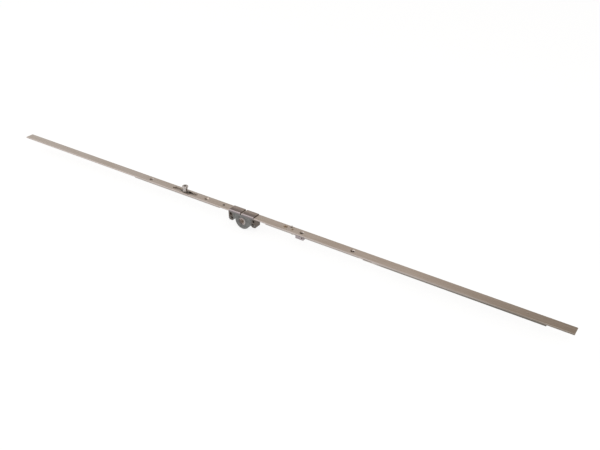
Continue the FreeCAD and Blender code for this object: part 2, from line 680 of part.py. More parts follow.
def make_extension_rail():
    """Second rail: the lower half of the lap and the slot of its guide rivet."""
    body = new_body("extension_rail")
    half = c.extension_width / 2
    pad(body, "strip", "XY", RAIL_LOW, c.rail_thick,
        lambda s: draw_box(s, EXTENSION_START, EXTENSION_END, -half, half))
    pocket(body, "lap", "XY", RAIL_MIDDLE, c.rail_thick, lambda s: draw_box(
        s, 0, +c.rail_half + c.slide_gap, -EDGE, EDGE), reverse=True)
    pocket(body, "lap_holes", "XY", RAIL_LOW, c.rail_thick, draw_lap_holes, reverse=True)
    travel_slot = STROKE + c.side_gap
    pocket(body, "guide_slot", "XY", RAIL_LOW, c.rail_thick, lambda s: draw_slot(
        s, (END_GUIDE_X - travel_slot, 0), (END_GUIDE_X + travel_slot, 0),
        c.end_guide_radius + c.slide_gap * 2), reverse=True)
    return keep(body)


def make_lap_rivets():
    """Rivets that are closed flush with both faces of the rails."""
    rivets = []
    for index, x in enumerate(lap_rivet_places(), start=1):
        body = new_body(f"lap_rivet_{index}")
        shank = c.lap_rivet_radius
        turn(body, "form", [(0, RAIL_TOP), (shank, RAIL_TOP), (shank, RAIL_LOW), (0, RAIL_LOW)])
        move(body, x)
        rivets.append(body)
    group("lap_rivets", rivets)


def make_carrier():
    """Block that stands on the rail and reaches through the faceplate's slot."""
    body = new_body("cam_carrier")
    width = c.slot_width / 2 - c.side_gap
    end = c.carrier_length / 2 - width - c.side_gap

    pad(body, "block", "XY", RAIL_TOP, CARRIER_TOP - RAIL_TOP,
        lambda s: draw_slot(s, (c.cam_x - end, 0), (c.cam_x + end, 0), width))

    def holes(sketch):
        draw_circle(sketch, c.cam_x, 0, c.journal_radius + c.bearing_gap)
        for side in (-1, 1):
            draw_circle(sketch, c.cam_x + side * c.carrier_rivet_spacing / 2, 0, c.carrier_rivet_radius)

    pocket(body, "holes", "XY", RAIL_TOP, CARRIER_TOP - RAIL_TOP, holes, reverse=True)
    return keep(body)


def make_carrier_rivets():
    """Two rivets that hold the carrier down on the rail."""
    rivets = []
    for side, word in ((-1, "left"), (1, "right")):
        body = new_body(f"carrier_rivet_{word}")
        shank, head = c.carrier_rivet_radius, c.carrier_rivet_radius + c.head_height
        low = RAIL_LOW - c.head_height
        turn(body, "form", [(0, CARRIER_TOP), (shank, CARRIER_TOP), (shank, RAIL_LOW),
                            (head, RAIL_LOW), (head, low), (0, low)])
        move(body, c.cam_x + side * c.carrier_rivet_spacing / 2)
        rivets.append(body)
    group("carrier_rivets", rivets)


def roller_low():
    """Lower end of the roller."""
    return CARRIER_TOP + c.slide_gap / 2 + c.collar_height + c.slide_gap


def head_low():
    """Lower face of the mushroom head."""
    return roller_low() + c.roller_length + c.slide_gap


def make_cam_pin():
    """Eccentric mushroom pin: journal and foot on one axis, collar, neck and head on the other."""
    body = new_body("cam_pin")
    foot_top = RAIL_LOW - c.slide_gap / 2
    foot_low = foot_top - c.head_height
    collar_low = CARRIER_TOP + c.slide_gap / 2
    journal_top = collar_low + c.collar_height / 2
    turn(body, "journal", [(0, foot_low), (c.foot_radius, foot_low), (c.foot_radius, foot_top),
                           (c.journal_radius, foot_top), (c.journal_radius, journal_top), (0, journal_top)])
    collar_top = collar_low + c.collar_height
    top = head_low() + c.head_thick

    def offset_circle(radius):
        return lambda s: draw_circle(s, c.eccentricity, 0, radius)

    pad(body, "collar", "XY", collar_low, c.collar_height, offset_circle(c.collar_radius))
    pad(body, "neck", "XY", collar_top, head_low() - collar_top, offset_circle(c.neck_radius))
    head = pad(body, "head", "XY", head_low(), c.head_thick, offset_circle(c.head_radius))
    rims = []
    for index, edge in enumerate(head.Shape.Edges, start=1):
        level = edge.CenterOfMass.z - number(top)
        if abs(level) < 1e-6 and len(edge.Vertexes) == 1:
            rims.append(f"Edge{index}")
    bevel = body.newObject("PartDesign::Chamfer", "head_bevel")
    bevel.Base = (head, rims)
    bevel.setExpression("Size", str(c.head_bevel))
    body.Tip = bevel
    doc.recompute()

    def hexagon(sketch):
        corners = []
        sides = 6
        for step in range(sides):
            angle = 2 * math.pi * step / sides
            corners.append((c.eccentricity + c.hex_radius * math.cos(angle), c.hex_radius * math.sin(angle)))
        draw_polygon(sketch, corners)

    pocket(body, "hex_socket", "XY", top - c.hex_depth, c.hex_depth * 2, hexagon, reverse=True)
    move(body, c.cam_x)
    return keep(body)


def make_cam_roller():
    """Sleeve that turns on the neck of the cam pin."""
    body = new_body("cam_roller")
    bore = c.neck_radius + c.bearing_gap
    outer = bore + c.roller_wall
    low, high = roller_low(), roller_low() + c.roller_length
    turn(body, "form", [(bore, low), (outer, low), (outer, high), (bore, high)])
    move(body, c.cam_x + c.eccentricity)
    return keep(body)


def eyelet(name, x, low):
    """Hollow rivet with a countersunk flange on top and a rolled flange at its lower end."""
    body = new_body(name)
    sink = c.eyelet_flange - EYELET_OUTER
    lower = low - c.head_height
    rim = c.eyelet_bore + c.eyelet_wall / 2
    turn(body, "form", [
        (c.eyelet_bore, lower), (c.eyelet_flange, lower), (c.eyelet_flange, low), (EYELET_OUTER, low),
        (EYELET_OUTER, TOP - sink), (c.eyelet_flange, TOP), (c.eyelet_flange - c.eyelet_wall / 2, TOP),
        (rim, TOP - sink), (c.eyelet_bore, TOP - sink - c.eyelet_wall)])
    move(body, x)
    return body


def make_guides():
    """Hollow guide rivets, their washers and the guide rivet of the extension rail."""
    group("guide_eyelets", [eyelet("guide_eyelet_left", -GUIDE_X, WASHER_LOW),
                            eyelet("guide_eyelet_right", GUIDE_X, WASHER_LOW)])
    places = [("left", -GUIDE_X, EYELET_OUTER), ("right", GUIDE_X, EYELET_OUTER),
              ("end", END_GUIDE_X, c.end_guide_radius)]
    washers = []
    for word, x, bore in places:
        body = new_body(f"guide_washer_{word}")
        turn(body, "form", [(bore, WASHER_LOW), (c.washer_radius, WASHER_LOW),
                            (c.washer_radius, WASHER_TOP), (bore, WASHER_TOP)])
        move(body, x)
        washers.append(body)
    group("guide_washers", washers)
    body = new_body("end_guide_rivet")
    head = c.end_guide_radius * 2
    low = WASHER_LOW - c.head_height
    turn(body, "form", [(0, TOP), (c.end_guide_radius, TOP), (c.end_guide_radius, WASHER_LOW),
                        (head, WASHER_LOW), (head, low), (0, low)])
    move(body, END_GUIDE_X)
    keep(body)


def make_support_block():
    """Block round the rail, with the eyelet of a fixing screw through it."""
    body = new_body("support_block")
    half = c.block_length / 2
    channel = RAIL_EDGE + c.side_gap

    def section(sketch):
        draw_polygon(sketch, [
            (-EDGE, BLOCK_LOW), (EDGE, BLOCK_LOW), (EDGE, UNDER), (channel, UNDER),
            (channel, BLOCK_CHANNEL), (-channel, BLOCK_CHANNEL), (-channel, UNDER), (-EDGE, UNDER)])

    pad(body, "block", "YZ", c.block_x - half, c.block_length, section)
    pocket(body, "bore", "XY", BLOCK_LOW, BLOCK_CHANNEL - BLOCK_LOW,
           lambda s: draw_circle(s, c.block_x, 0, EYELET_OUTER), reverse=True)
    pocket(body, "counterbore", "XY", BLOCK_LOW, c.head_height,
           lambda s: draw_circle(s, c.block_x, 0, c.eyelet_flange), reverse=True)
    pocket(body, "front_mark", "XZ", EDGE - c.block_mark_depth, c.block_mark_depth * 2,
           lambda s: draw_circle(s, c.block_x + c.block_mark_offset, UNDER - c.block_mark_drop, c.block_mark_radius),
           reverse=True)
    pocket(body, "spring_hole", "YZ", c.block_x - half, c.leg_seat, lambda s: draw_circle(
        s, c.pivot_y + c.coil_radius, COIL_LOW, c.wire_radius), reverse=True)
    keep(body)
    keep(eyelet("block_eyelet", c.block_x, BLOCK_LOW + c.head_height))


def make_lever():
    """Flat safety lever in the rail's rebate: hub, tail with its nose, and the sensor arm."""
    body = new_body("safety_lever")
    nose_left = c.pivot_x - c.lever_reach
    nose_right = nose_left + c.nose_length
    low, high = c.pivot_y + c.nose_low, c.pivot_y + c.nose_high
    hub_top = c.pivot_y + c.lever_hub
    thick = c.lever_thick
    pad(body, "hub", "XY", LEVER_LOW, thick, lambda s: draw_circle(s, c.pivot_x, c.pivot_y, c.lever_hub))
    pad(body, "tail", "XY", LEVER_LOW, thick, lambda s: draw_polygon(s, [
        (+c.pivot_x, hub_top - c.arm_width), (+c.pivot_x, hub_top), (nose_right, high),
        (nose_left, high), (nose_left, low), (nose_right, low)]))
    # The arm starts inside the hub, a third of the way to the sensor pin
    start = (c.pivot_x - c.sensor_left / 3, c.pivot_y + c.sensor_up / 3)
    pad(body, "arm", "XY", LEVER_LOW, thick,
        lambda s: draw_slot(s, start, (SENSOR_X, SENSOR_Y), c.sensor_boss))

    def holes(sketch):
        draw_circle(sketch, c.pivot_x, c.pivot_y, c.pivot_radius + c.bearing_gap)
        draw_circle(sketch, SENSOR_X, SENSOR_Y, c.sensor_radius)

    pocket(body, "holes", "XY", LEVER_LOW, thick, holes, reverse=True)
    keep(body)
    pin = new_body("sensor_pin")
    tip = TOP + c.sensor_rise
    shoulder = c.sensor_radius / 2
    turn(pin, "form", [(0, LEVER_LOW), (c.sensor_radius, LEVER_LOW), (c.sensor_radius, tip - shoulder),
                       (shoulder, tip), (0, tip)])
    move(pin, SENSOR_X, SENSOR_Y)
    keep(pin)
    rivet = new_body("lever_rivet")
    sink = c.pivot_head - c.pivot_radius
    low = PIVOT_HEAD_TOP - c.head_height
    bottom = TOP - c.pivot_bore_depth
    turn(rivet, "form", [(0, bottom), (c.pivot_bore, bottom), (c.pivot_bore, TOP), (c.pivot_head, TOP),
                         (c.pivot_radius, TOP - sink),
                         (c.pivot_radius, PIVOT_HEAD_TOP), (c.pivot_head, PIVOT_HEAD_TOP),
                         (c.pivot_head, low), (0, low)])
    move(rivet, +c.pivot_x, +c.pivot_y)
    keep(rivet)


def make_lever_spring():
    """Wire spring about the lever rivet: one leg under the lever, one in the support block."""
    radius, wire = number(c.coil_radius), number(c.wire_radius)
    low, high = number(COIL_LOW), number(COIL_TOP)
    helix = Part.makeHelix(number(c.coil_pitch), high - low, radius)
    helix.rotate(FreeCAD.Vector(0, 0, 0), FreeCAD.Vector(0, 0, 1), 90)
    helix.translate(FreeCAD.Vector(0, 0, low))
    start = helix.Edges[0].valueAt(helix.Edges[0].FirstParameter)
    tangent = helix.Edges[0].tangentAt(helix.Edges[0].FirstParameter)
    profile = Part.Wire(Part.makeCircle(wire, start, tangent))
    coil = Part.Wire(helix.Edges).makePipeShell([profile], True, True)
    block_face = number(c.block_x - c.block_length / 2 - c.pivot_x)
    long_leg = Part.makeCylinder(wire, block_face + number(c.leg_seat),
                                 FreeCAD.Vector(0, radius, low), FreeCAD.Vector(1, 0, 0))
    short_leg = Part.makeCylinder(wire, number(c.short_leg),
                                  FreeCAD.Vector(0, radius, high), FreeCAD.Vector(-1, 0, 0))
    spring = doc.addObject("Part::Feature", "lever_spring")
    spring.Label = "lever_spring"
    spring.Shape = coil.fuse([long_leg, short_leg])
    place = FreeCAD.Vector(number(c.pivot_x), number(c.pivot_y), 0)
    spring.Placement = FreeCAD.Placement(place, FreeCAD.Rotation())
    print(f"lever spring: gap between turns {number(c.coil_pitch) - 2 * wire:.2f} mm")
    return keep(spring)


def check_and_export():
    """Stop at anything that failed; then write each sub-part to its own file."""
    for item in doc.Objects:
        if "Invalid" in item.State or "Error" in item.State:
            raise RuntimeError(f"{item.Name} did not rebuild: {item.State}")
    for node in PARTS:
        shape = node.Shape
        if shape.isNull() or not shape.isValid() or not shape.Solids:
            raise RuntimeError(f"{node.Label} has no valid solid")
    os.makedirs("parts", exist_ok=True)
    for node in PARTS:
        node.Shape.exportStep(f"parts/{node.Label}.step")
        box = node.Shape.BoundBox
        print(f"{node.Label}: {len(node.Shape.Solids)} solids, {node.Shape.Volume:.1f} mm3, "
              f"x {box.XMin:.1f} to {box.XMax:.1f}, y {box.YMin:.1f} to {box.YMax:.1f}, "
              f"z {box.ZMin:.2f} to {box.ZMax:.2f}")


make_faceplate()
for half_name, half_side in (("gearbox_front_shell", -1), ("gearbox_rear_shell", 1)):
    make_shell(half_name, half_side)
make_case_rivets()
make_pinion()
make_bush("pinion_bush_front", -1)
make_bush("pinion_bush_rear", 1)
make_saddle("saddle_left", -1)
make_saddle("saddle_right", 1)
make_drive_rail()
make_extension_rail()
make_lap_rivets()
make_carrier()
make_carrier_rivets()
make_cam_pin()
make_cam_roller()
make_guides()
make_support_block()
make_lever()
make_lever_spring()
doc.recompute()
check_and_export()
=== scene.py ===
"""Dressed model of a window espagnolette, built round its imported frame.

X runs along the faceplate, -Y faces the handle and +Z points out of the sash, towards the frame.
Sizes in the classes are millimetres; meshes are in metres, in the same frame as the solids.
"""

import functools
import logging
import math
from dataclasses import dataclass
from enum import Enum
from typing import Callable, Sequence

import bmesh
import bpy
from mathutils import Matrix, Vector


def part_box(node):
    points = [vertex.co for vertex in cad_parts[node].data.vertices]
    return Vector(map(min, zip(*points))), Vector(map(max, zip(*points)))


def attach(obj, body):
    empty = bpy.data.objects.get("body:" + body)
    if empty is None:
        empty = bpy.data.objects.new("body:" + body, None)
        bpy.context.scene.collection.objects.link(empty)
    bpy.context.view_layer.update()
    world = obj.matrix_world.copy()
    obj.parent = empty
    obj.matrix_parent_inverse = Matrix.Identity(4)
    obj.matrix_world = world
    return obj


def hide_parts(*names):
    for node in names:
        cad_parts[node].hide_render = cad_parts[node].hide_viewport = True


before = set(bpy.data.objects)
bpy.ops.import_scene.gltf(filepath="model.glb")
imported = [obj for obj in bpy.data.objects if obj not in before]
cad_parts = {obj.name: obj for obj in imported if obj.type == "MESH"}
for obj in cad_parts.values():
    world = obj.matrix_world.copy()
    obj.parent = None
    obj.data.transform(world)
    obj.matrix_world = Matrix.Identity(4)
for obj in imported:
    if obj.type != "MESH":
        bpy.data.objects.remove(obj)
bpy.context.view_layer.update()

MM = 0.001
# Millimetres within which points of a solid are one point, or lie in one plane
FLAT_WITHIN = 0.001
# Degrees that the faces of an edge turn, above which it is rounded, and above which it is shaded sharp
HARD_TURN = 40.0
SHARP_TURN = 38.0
LOG = logging.getLogger("espagnolette")
Point = tuple[float, float]
Corners = tuple[Point, ...]
Place = tuple[float, float, float]
Tree = bpy.types.NodeTree
Socket = bpy.types.NodeSocket
Piece = bpy.types.Object
Mesh = bmesh.types.BMesh
Face = bpy.types.MeshPolygon
# Colour of a surface, the pattern that its roughness follows, and its height
Pattern = tuple[Socket, Socket, Socket]
ALONG, ACROSS, UPWARDS = (1.0, 0.0, 0.0), (0.0, 1.0, 0.0), (0.0, 0.0, 1.0)


class Axis(Enum):
    """Which way the axis of a turned piece points."""

    UPRIGHT = "along Z, square to the faceplate"
    CROSSWISE = "along Y, through the gear case"


class Body(Enum):
    """The moving bodies of the frame."""

    PLATE = "plate_and_case"
    RAILS = "rails"
    FOLLOWER = "follower"
    CAM = "cam"
    ROLLER = "roller"
    LEVER = "lever"


# Nodes and colours


def linear(code: str) -> tuple[float, float, float, float]:
    """Turn an sRGB hex colour into the linear colour that shaders take.

    Args:
        code: Six hex digits, without a hash sign.

    Returns:
        Red, green, blue and an alpha of 1.
    """
    channels = [int(code[start:start + 2], 16) / 255 for start in (0, 2, 4)]
    red, green, blue = (c / 12.92 if c <= 0.04045 else ((c + 0.055) / 1.055) ** 2.4 for c in channels)
    return red, green, blue, 1.0


def add_node(tree: Tree, kind: str, inputs: dict | None = None, **settings: object) -> bpy.types.Node:
    """Add one shader node with its settings, its values and its links.

    Args:
        tree: The node tree that the node goes into.
        kind: Blender's name of the node type, without ShaderNode.
        inputs: For an input's name or number, a value, or the socket that feeds it.
        **settings: Attributes of the node itself, such as an operation.

    Returns:
        The new node.
    """
    node = tree.nodes.new(f"ShaderNode{kind}")
    for name, value in settings.items():
        setattr(node, name, value)
    for key, value in (inputs or {}).items():
        if isinstance(value, Socket):
            tree.links.new(value, node.inputs[key])
        else:
            node.inputs[key].default_value = value
    return node


def calc(operation: str, first: Socket, *others: Socket | float) -> Socket:
    """Result of one arithmetic node, fed with the values in order."""
    return add_node(first.id_data, "Math", dict(enumerate((first, *others))), operation=operation).outputs[0]


def turned_by(operation: str, place: Socket, inputs: dict | None = None) -> bpy.types.Node:
    """Node that moves, stretches or measures a place."""
    return add_node(place.id_data, "VectorMath", {0: place, **(inputs or {})}, operation=operation)


def reach(place: Socket, heading: Socket | Place) -> Socket:
    """How far a place or a normal reaches along a heading."""
    return turned_by("DOT_PRODUCT", place, {1: heading}).outputs["Value"]


def remap(value: Socket, span: Point, result: Point = (0.0, 1.0), **settings: str) -> Socket:
    """Stretch the values of a span over those of the result, and hold them at its ends."""
    return add_node(value.id_data, "MapRange", {0: value, 1: span[0], 2: span[1], 3: result[0],
                                                4: result[1]}, **settings).outputs[0]


def blend(factor: Socket, span: Point, under: Socket | tuple, over: str, most: float = 1.0) -> Socket:
    """Lay a hex colour over a first colour, up to a share, where a pattern goes through a span."""
    return add_node(factor.id_data, "Mix", {0: remap(factor, span, (0.0, most)), 6: under, 7: linear(over)},
                    data_type="RGBA").outputs[2]


def mottle(place: Socket, size: Place, seed: float, detail: float = 3.0) -> Socket:
    """Soft random pattern whose spots have a given size.

    Args:
        place: Position in millimetres.
        size: Size of one spot along X, Y and Z, in millimetres.
        seed: Keeps patterns of one size apart.
        detail: Finer layers on top of the spots.

    Returns:
        A value round 0.5, from about 0.2 to 0.8.
    """
    spot = turned_by("MULTIPLY", place, {1: tuple(1 / length for length in size)}).outputs[0]
    return add_node(place.id_data, "TexNoise", {"Vector": spot, "W": seed, "Scale": 1.0, "Detail": detail},
                    noise_dimensions="4D").outputs[0]


def rubbed_edges(tree: Tree, width: float) -> Socket:
    """Mask of the edges that handling and tumbling rub bright: 0 on flats, up to 1 on edges."""
    rounded_normal = add_node(tree, "Bevel", {"Radius": width * MM}, samples=4).outputs[0]
    return remap(reach(rounded_normal, add_node(tree, "NewGeometry").outputs["Normal"]), (0.98, 0.85))


# Finishes


@dataclass(frozen=True)
class Layer:
    """Tone that lies over a finish on one side of a piece, such as painted shade, a painted highlight or a
    darker patch.
    """

    colour: str
    # Distances along the heading where the tone starts and where it is full, in millimetres
    span: Point
    most: float
    heading: Place = ALONG
    # Whether the surface's normal is measured along the heading, instead of its place
    facing: bool = False
    # Whether the tone lies on both sides of the middle
    mirrored: bool = False
    # How far the border of the tone wanders, in millimetres
    ragged: float = 0.0
    # Distance along the heading below which there is none of the tone
    stop: float | None = None

    def lay(self, place: Socket, under: Socket) -> Socket:
        """Lay the tone over a colour.

        Args:
            place: Position in millimetres.
            under: The colour.

        Returns:
            The colour with the tone on it.
        """
        seen = add_node(place.id_data, "NewGeometry").outputs["Normal"] if self.facing else place
        distance = reach(seen, self.heading)
        if self.mirrored:
            distance = calc("ABSOLUTE", distance)
        if self.ragged:
            distance = calc("MULTIPLY_ADD", mottle(place, (4.0,) * 3, 5.0), self.ragged, distance)
        start, full = (edge + self.ragged / 2 for edge in self.span)
        if self.stop is None:
            return blend(distance, (start, full), under, self.colour, self.most)
        share = calc("MULTIPLY", calc("GREATER_THAN", distance, self.stop), remap(distance, (start, full)))
        return blend(share, (0.0, 1.0), under, self.colour, self.most)


@dataclass(frozen=True)
class Finish:
    """A real surface: its name, the material slot that it stands for, its colours and its gloss."""

    name: str
    slot: str
    base: str
    second: str
    rubbed: str
    roughness: float
    metallic: float = 1.0
    layers: tuple[Layer, ...] = ()
    # Width of the rubbed edges in millimetres, and how much of the rubbed colour they show
    edge: Point = (0.3, 0.6)
    edge_span: Point = (0.0, 1.0)
    # How far the roughness goes up and down
    spread: float = 0.06
    # Depth of the relief, in millimetres
    relief: float = 0.004

    @functools.cached_property
    def material(self) -> bpy.types.Material:
        """The Blender material, made once for all pieces that share the finish."""
        material = bpy.data.materials.new(self.name)
        material.use_nodes = True
        tree = material.node_tree
        shader = tree.nodes["Principled BSDF"]
        shader.inputs["Metallic"].default_value = self.metallic
        place = turned_by("SCALE", add_node(tree, "TexCoord").outputs["Object"], {"Scale": 1 / MM}).outputs[0]
        colour, sheen, height = self.pattern(place)
        if self.edge[1]:
            worn = rubbed_edges(tree, self.edge[0])
            colour = blend(worn, self.edge_span, colour, self.rubbed, self.edge[1])
        for layer in self.layers:
            colour = layer.lay(place, colour)
        roughness = remap(sheen, (0.3, 0.7), (self.roughness - self.spread, self.roughness + self.spread))
        bump = add_node(tree, "Bump", {"Height": height, "Distance": self.relief * MM, "Strength": 1.0})
        for socket, name in ((colour, "Base Color"), (roughness, "Roughness"), (bump.outputs[0], "Normal")):
            tree.links.new(socket, shader.inputs[name])
        return material

    def pattern(self, place: Socket) -> Pattern:
        """Colour, pattern of the roughness and height of the bare surface; each kind has its own."""
        raise NotImplementedError

    def toned(self, factor: Socket, span: Point = (0.4, 0.66), most: float = 0.8) -> Socket:
        """The base colour, with the second one laid over it where a pattern is high."""
        return blend(factor, span, linear(self.base), self.second, most)


@dataclass(frozen=True)
class RolledSteel(Finish):
    """Cold-rolled strip under a passivated zinc coat: the eye gets a satin sheen drawn out along it."""

    streak: Place = (70.0, 0.9, 0.9)
    cloud: Place = (55.0, 9.0, 9.0)
    scuff: Place = (14.0, 0.5, 0.5)
    grain: Place = (2.7, 0.45, 0.45)
    # Painted shade: the colour darkens along X towards one end of the span, standing in for dimmer
    # reflections there
    painted_shade: str = "978C80"
    painted_shade_span: Point = (300.0, 545.0)
    # Rubbed edges, strong enough to be partly a painted highlight along the rolled arris
    edge: Point = (0.4, 0.85)
    edge_span: Point = (0.0, 0.8)
    spread: float = 0.07
    relief: float = 0.006

    def pattern(self, place: Socket) -> Pattern:
        """Slow passivation clouds, painted shade along X, rolling streaks, scuffs and a fine grain.

        Args:
            place: Position in millimetres.

        Returns:
            Colour, pattern of the roughness and height.
        """
        clouds = mottle(place, self.cloud, 1.0, 2.0)
        streaks = mottle(place, self.streak, 2.0)
        grain = mottle(place, self.grain, 3.0, 1.0)
        scuffs = mottle(place, self.scuff, 4.0, 1.0)
        colour = self.toned(clouds, (0.38, 0.68), 0.75)
        # Painted shade, darker along X through the span
        colour = blend(reach(place, ALONG), self.painted_shade_span, colour, self.painted_shade)
        colour = blend(streaks, (0.48, 0.72), colour, self.rubbed, 0.18)
        colour = blend(scuffs, (0.66, 0.74), colour, self.rubbed, 0.3)
        return colour, streaks, calc("MULTIPLY_ADD", streaks, 1.5, grain)


@dataclass(frozen=True)
class CastZinc(Finish):
    """Pressure die-cast zinc, tumbled: the eye gets a dark dull skin with a fine grit and paler edges."""

    grit: Place = (0.5,) * 3
    flow: Place = (12.6, 7.0, 7.0)
    edge: Point = (0.5, 0.65)
    spread: float = 0.08
    relief: float = 0.03

    def pattern(self, place: Socket) -> Pattern:
        """Flow marks of the die and a grit of half a millimetre.

        Args:
            place: Position in millimetres.

        Returns:
            Colour, pattern of the roughness and height.
        """
        flow = mottle(place, self.flow, 1.0)
        grit = mottle(place, self.grit, 2.0, 2.0)
        colour = blend(grit, (0.55, 0.75), self.toned(flow), self.rubbed, 0.25)
        return colour, flow, calc("MULTIPLY_ADD", flow, 3.0, grit)


@dataclass(frozen=True)
class PhosphatedSteel(Finish):
    """Steel with an oiled zinc phosphate coat: the eye gets a dark matt skin with a fine crystal sparkle."""

    oil: Place = (4.0,) * 3
    crystal: Place = (0.3,) * 3
    edge: Point = (0.3, 0.5)
    spread: float = 0.1
    relief: float = 0.01

    def pattern(self, place: Socket) -> Pattern:
        """Crystals of 0.3 mm, drawn that coarse so that they show, under patches of oil.

        Args:
            place: Position in millimetres.

        Returns:
            Colour, pattern of the roughness and height.
        """
        oil = mottle(place, self.oil, 1.0, 2.0)
        crystals = mottle(place, self.crystal, 2.0, 1.0)
        return blend(crystals, (0.56, 0.74), self.toned(oil), self.rubbed, 0.3), oil, crystals


@dataclass(frozen=True)
class SinteredSteel(Finish):
    """Sintered iron soaked in oil: the eye gets a matt warm grey skin with open pores."""

    pore: float = 0.35
    cloud: Place = (5.0,) * 3
    relief: float = 0.04

    def pattern(self, place: Socket) -> Pattern:
        """Pores of a third of a millimetre and a slow change of the oxide's tone.

        Args:
            place: Position in millimetres.

        Returns:
            Colour, pattern of the roughness and height.
        """
        tone = mottle(place, self.cloud, 1.0)
        spot = turned_by("SCALE", place, {"Scale": 1 / self.pore}).outputs[0]
        pores = add_node(place.id_data, "TexVoronoi", {"Vector": spot, "Scale": 1.0}).outputs[0]
        return self.toned(tone, (0.4, 0.65)), tone, pores


@dataclass(frozen=True)
class MouldedAcetal(Finish):
    """Moulded acetal, a slippery bearing plastic: the eye gets a smooth dark body with a soft gloss."""

    swirl: Place = (3.0, 6.0, 3.0)
    bloom: Place = (0.3,) * 3
    edge: Point = (0.3, 0.4)
    spread: float = 0.05
    relief: float = 0.008

    def pattern(self, place: Socket) -> Pattern:
        """Faint flow swirls and the fine bloom of the mould."""
        bloom = mottle(place, self.bloom, 2.0, 1.0)
        return self.toned(mottle(place, self.swirl, 1.0), (0.4, 0.7), 0.7), bloom, bloom


@dataclass(frozen=True)
class TurnedSteel(Finish):
    """Free-cutting steel from the lathe, zinc plated: the eye gets fine rings round the piece's own axis."""

    feed: float = 0.35
    smudge: Place = (2.5, 2.5, 5.0)
    # Where the piece's axis stands in the coordinates of its mesh
    centre: Place = (0.0, 0.0, 0.0)

    def pattern(self, place: Socket) -> Pattern:
        """Feed marks that run round barrels and circle on end faces, drawn at 0.35 mm so that they show.

        Args:
            place: Position in millimetres.

        Returns:
            Colour, pattern of the roughness and height.
        """
        own = turned_by("SUBTRACT", place, {1: self.centre}).outputs[0]
        flat = turned_by("MULTIPLY", own, {1: (1.0, 1.0, 0.0)}).outputs[0]
        travel = calc("ADD", turned_by("LENGTH", flat).outputs["Value"], reach(place, UPWARDS))
        rings = calc("SINE", calc("MULTIPLY", travel, 2 * math.pi / self.feed))
        smudge = mottle(place, self.smudge, 1.0)
        colour = blend(rings, (0.2, 1.0), self.toned(smudge, (0.42, 0.68)), self.rubbed, 0.18)
        return colour, smudge, rings


@dataclass(frozen=True)
class BrightPlating(Finish):
    """Cold-headed steel with bright zinc: the eye gets small clean highlights with a faint smudge."""

    smudge: Place = (1.6,) * 3
    pit: Place = (0.25,) * 3
    edge: Point = (0.25, 0.6)
    spread: float = 0.07
    relief: float = 0.006

    def pattern(self, place: Socket) -> Pattern:
        """Smudges of a millimetre or two and the small pits that the rivet tool leaves."""
        smudge = mottle(place, self.smudge, 1.0)
        return self.toned(smudge, (0.42, 0.7)), smudge, mottle(place, self.pit, 2.0, 1.0)


@dataclass(frozen=True)
class DrawnWire(Finish):
    """Patented spring wire, drawn: the eye gets a dark wire with a bright line along it."""

    line: Place = (6.0, 0.1, 0.1)
    oxide: Place = (2.0,) * 3
    edge: Point = (0.0, 0.0)

    def pattern(self, place: Socket) -> Pattern:
        """Drawing lines that follow the legs, and patches of thin oxide.

        Args:
            place: Position in millimetres.

        Returns:
            Colour, pattern of the roughness and height.
        """
        lines = mottle(place, self.line, 1.0, 1.0)
        oxide = mottle(place, self.oxide, 2.0)
        return blend(lines, (0.55, 0.75), self.toned(oxide, (0.42, 0.66)), self.rubbed, 0.4), oxide, lines


STRIP = RolledSteel("zinc_plated_strip_steel", "zinc_plated_steel", "BDB3AA", "B3A79B", "E2DBD6", 0.34)
# Slit and shaved side of the strip: bright, with painted shade where it lies in the gap between the covers,
# and painted shade darkening towards the right
SLIT_EDGE = RolledSteel("slit_edge_of_the_strip", "zinc_plated_steel", "BAAFAA", "AEA39D", "DED7D3", 0.38,
                        painted_shade="766C61", painted_shade_span=(260.0, 540.0),
                        layers=(Layer("4A4442", (2.8, 1.9), 0.85, mirrored=True),))
# Walls of the openings: shaved walls, which also give the fixing hole a painted highlight on its rear side,
# and painted shade in the gauge hole and in the fixing hole
SHAVED_AND_HIGHLIGHT = RolledSteel("shaved_walls_and_painted_highlight", "zinc_plated_steel", "E2D6CA", "D6CABD", "EDE6DE", 0.5)
GAUGE_HOLE_SHADE = RolledSteel("painted_shade_in_the_gauge_hole", "zinc_plated_steel", "5C524C", "504742", "8C827B", 0.5)
FIXING_HOLE_SHADE = RolledSteel("painted_shade_in_the_fixing_hole", "zinc_plated_steel", "978B82", "8B8077", "AFA59C", 0.46)
# Painted light: brighter from the left up to the joint where the two rails are riveted, and painted shade
# darkening towards the right
RAIL = RolledSteel("zinc_plated_rail_steel", "rail_steel", "A8A19B", "9B948C", "C0BBB5", 0.38, painted_shade="6B665F",
                   painted_shade_span=(150.0, 440.0), layers=(Layer("D3CCC6", (262.0, 242.0), 0.8, stop=222.0),))
END_RIVETING = TurnedSteel("rivet_flush_with_the_strip", "zinc_plated_steel", "9B9085", "92877B", "A89E94",
                           0.34)
# Sheet folded in a press tool, with painted light and shade: painted shade across the top towards the front,
# a painted highlight along the bend, painted shade on the lower flanges, and painted shade on the faces
# turned along +X
SHEET = RolledSteel("pressed_cover_sheet", "saddle_steel", "A2978F", "93887F", "D2C8CA", 0.34,
                    streak=(30.0, 0.7, 0.7), cloud=(12.0, 6.0, 6.0),
                    layers=(Layer("655B5A", (2.0, -2.0), 0.62, ACROSS),
                            Layer("B9AEB0", (-6.4, -7.2), 0.9, ACROSS),
                            Layer("7C7676", (15.3, 14.6), 0.9, UPWARDS),
                            Layer("554D4A", (0.4, 0.8), 0.85, facing=True)))
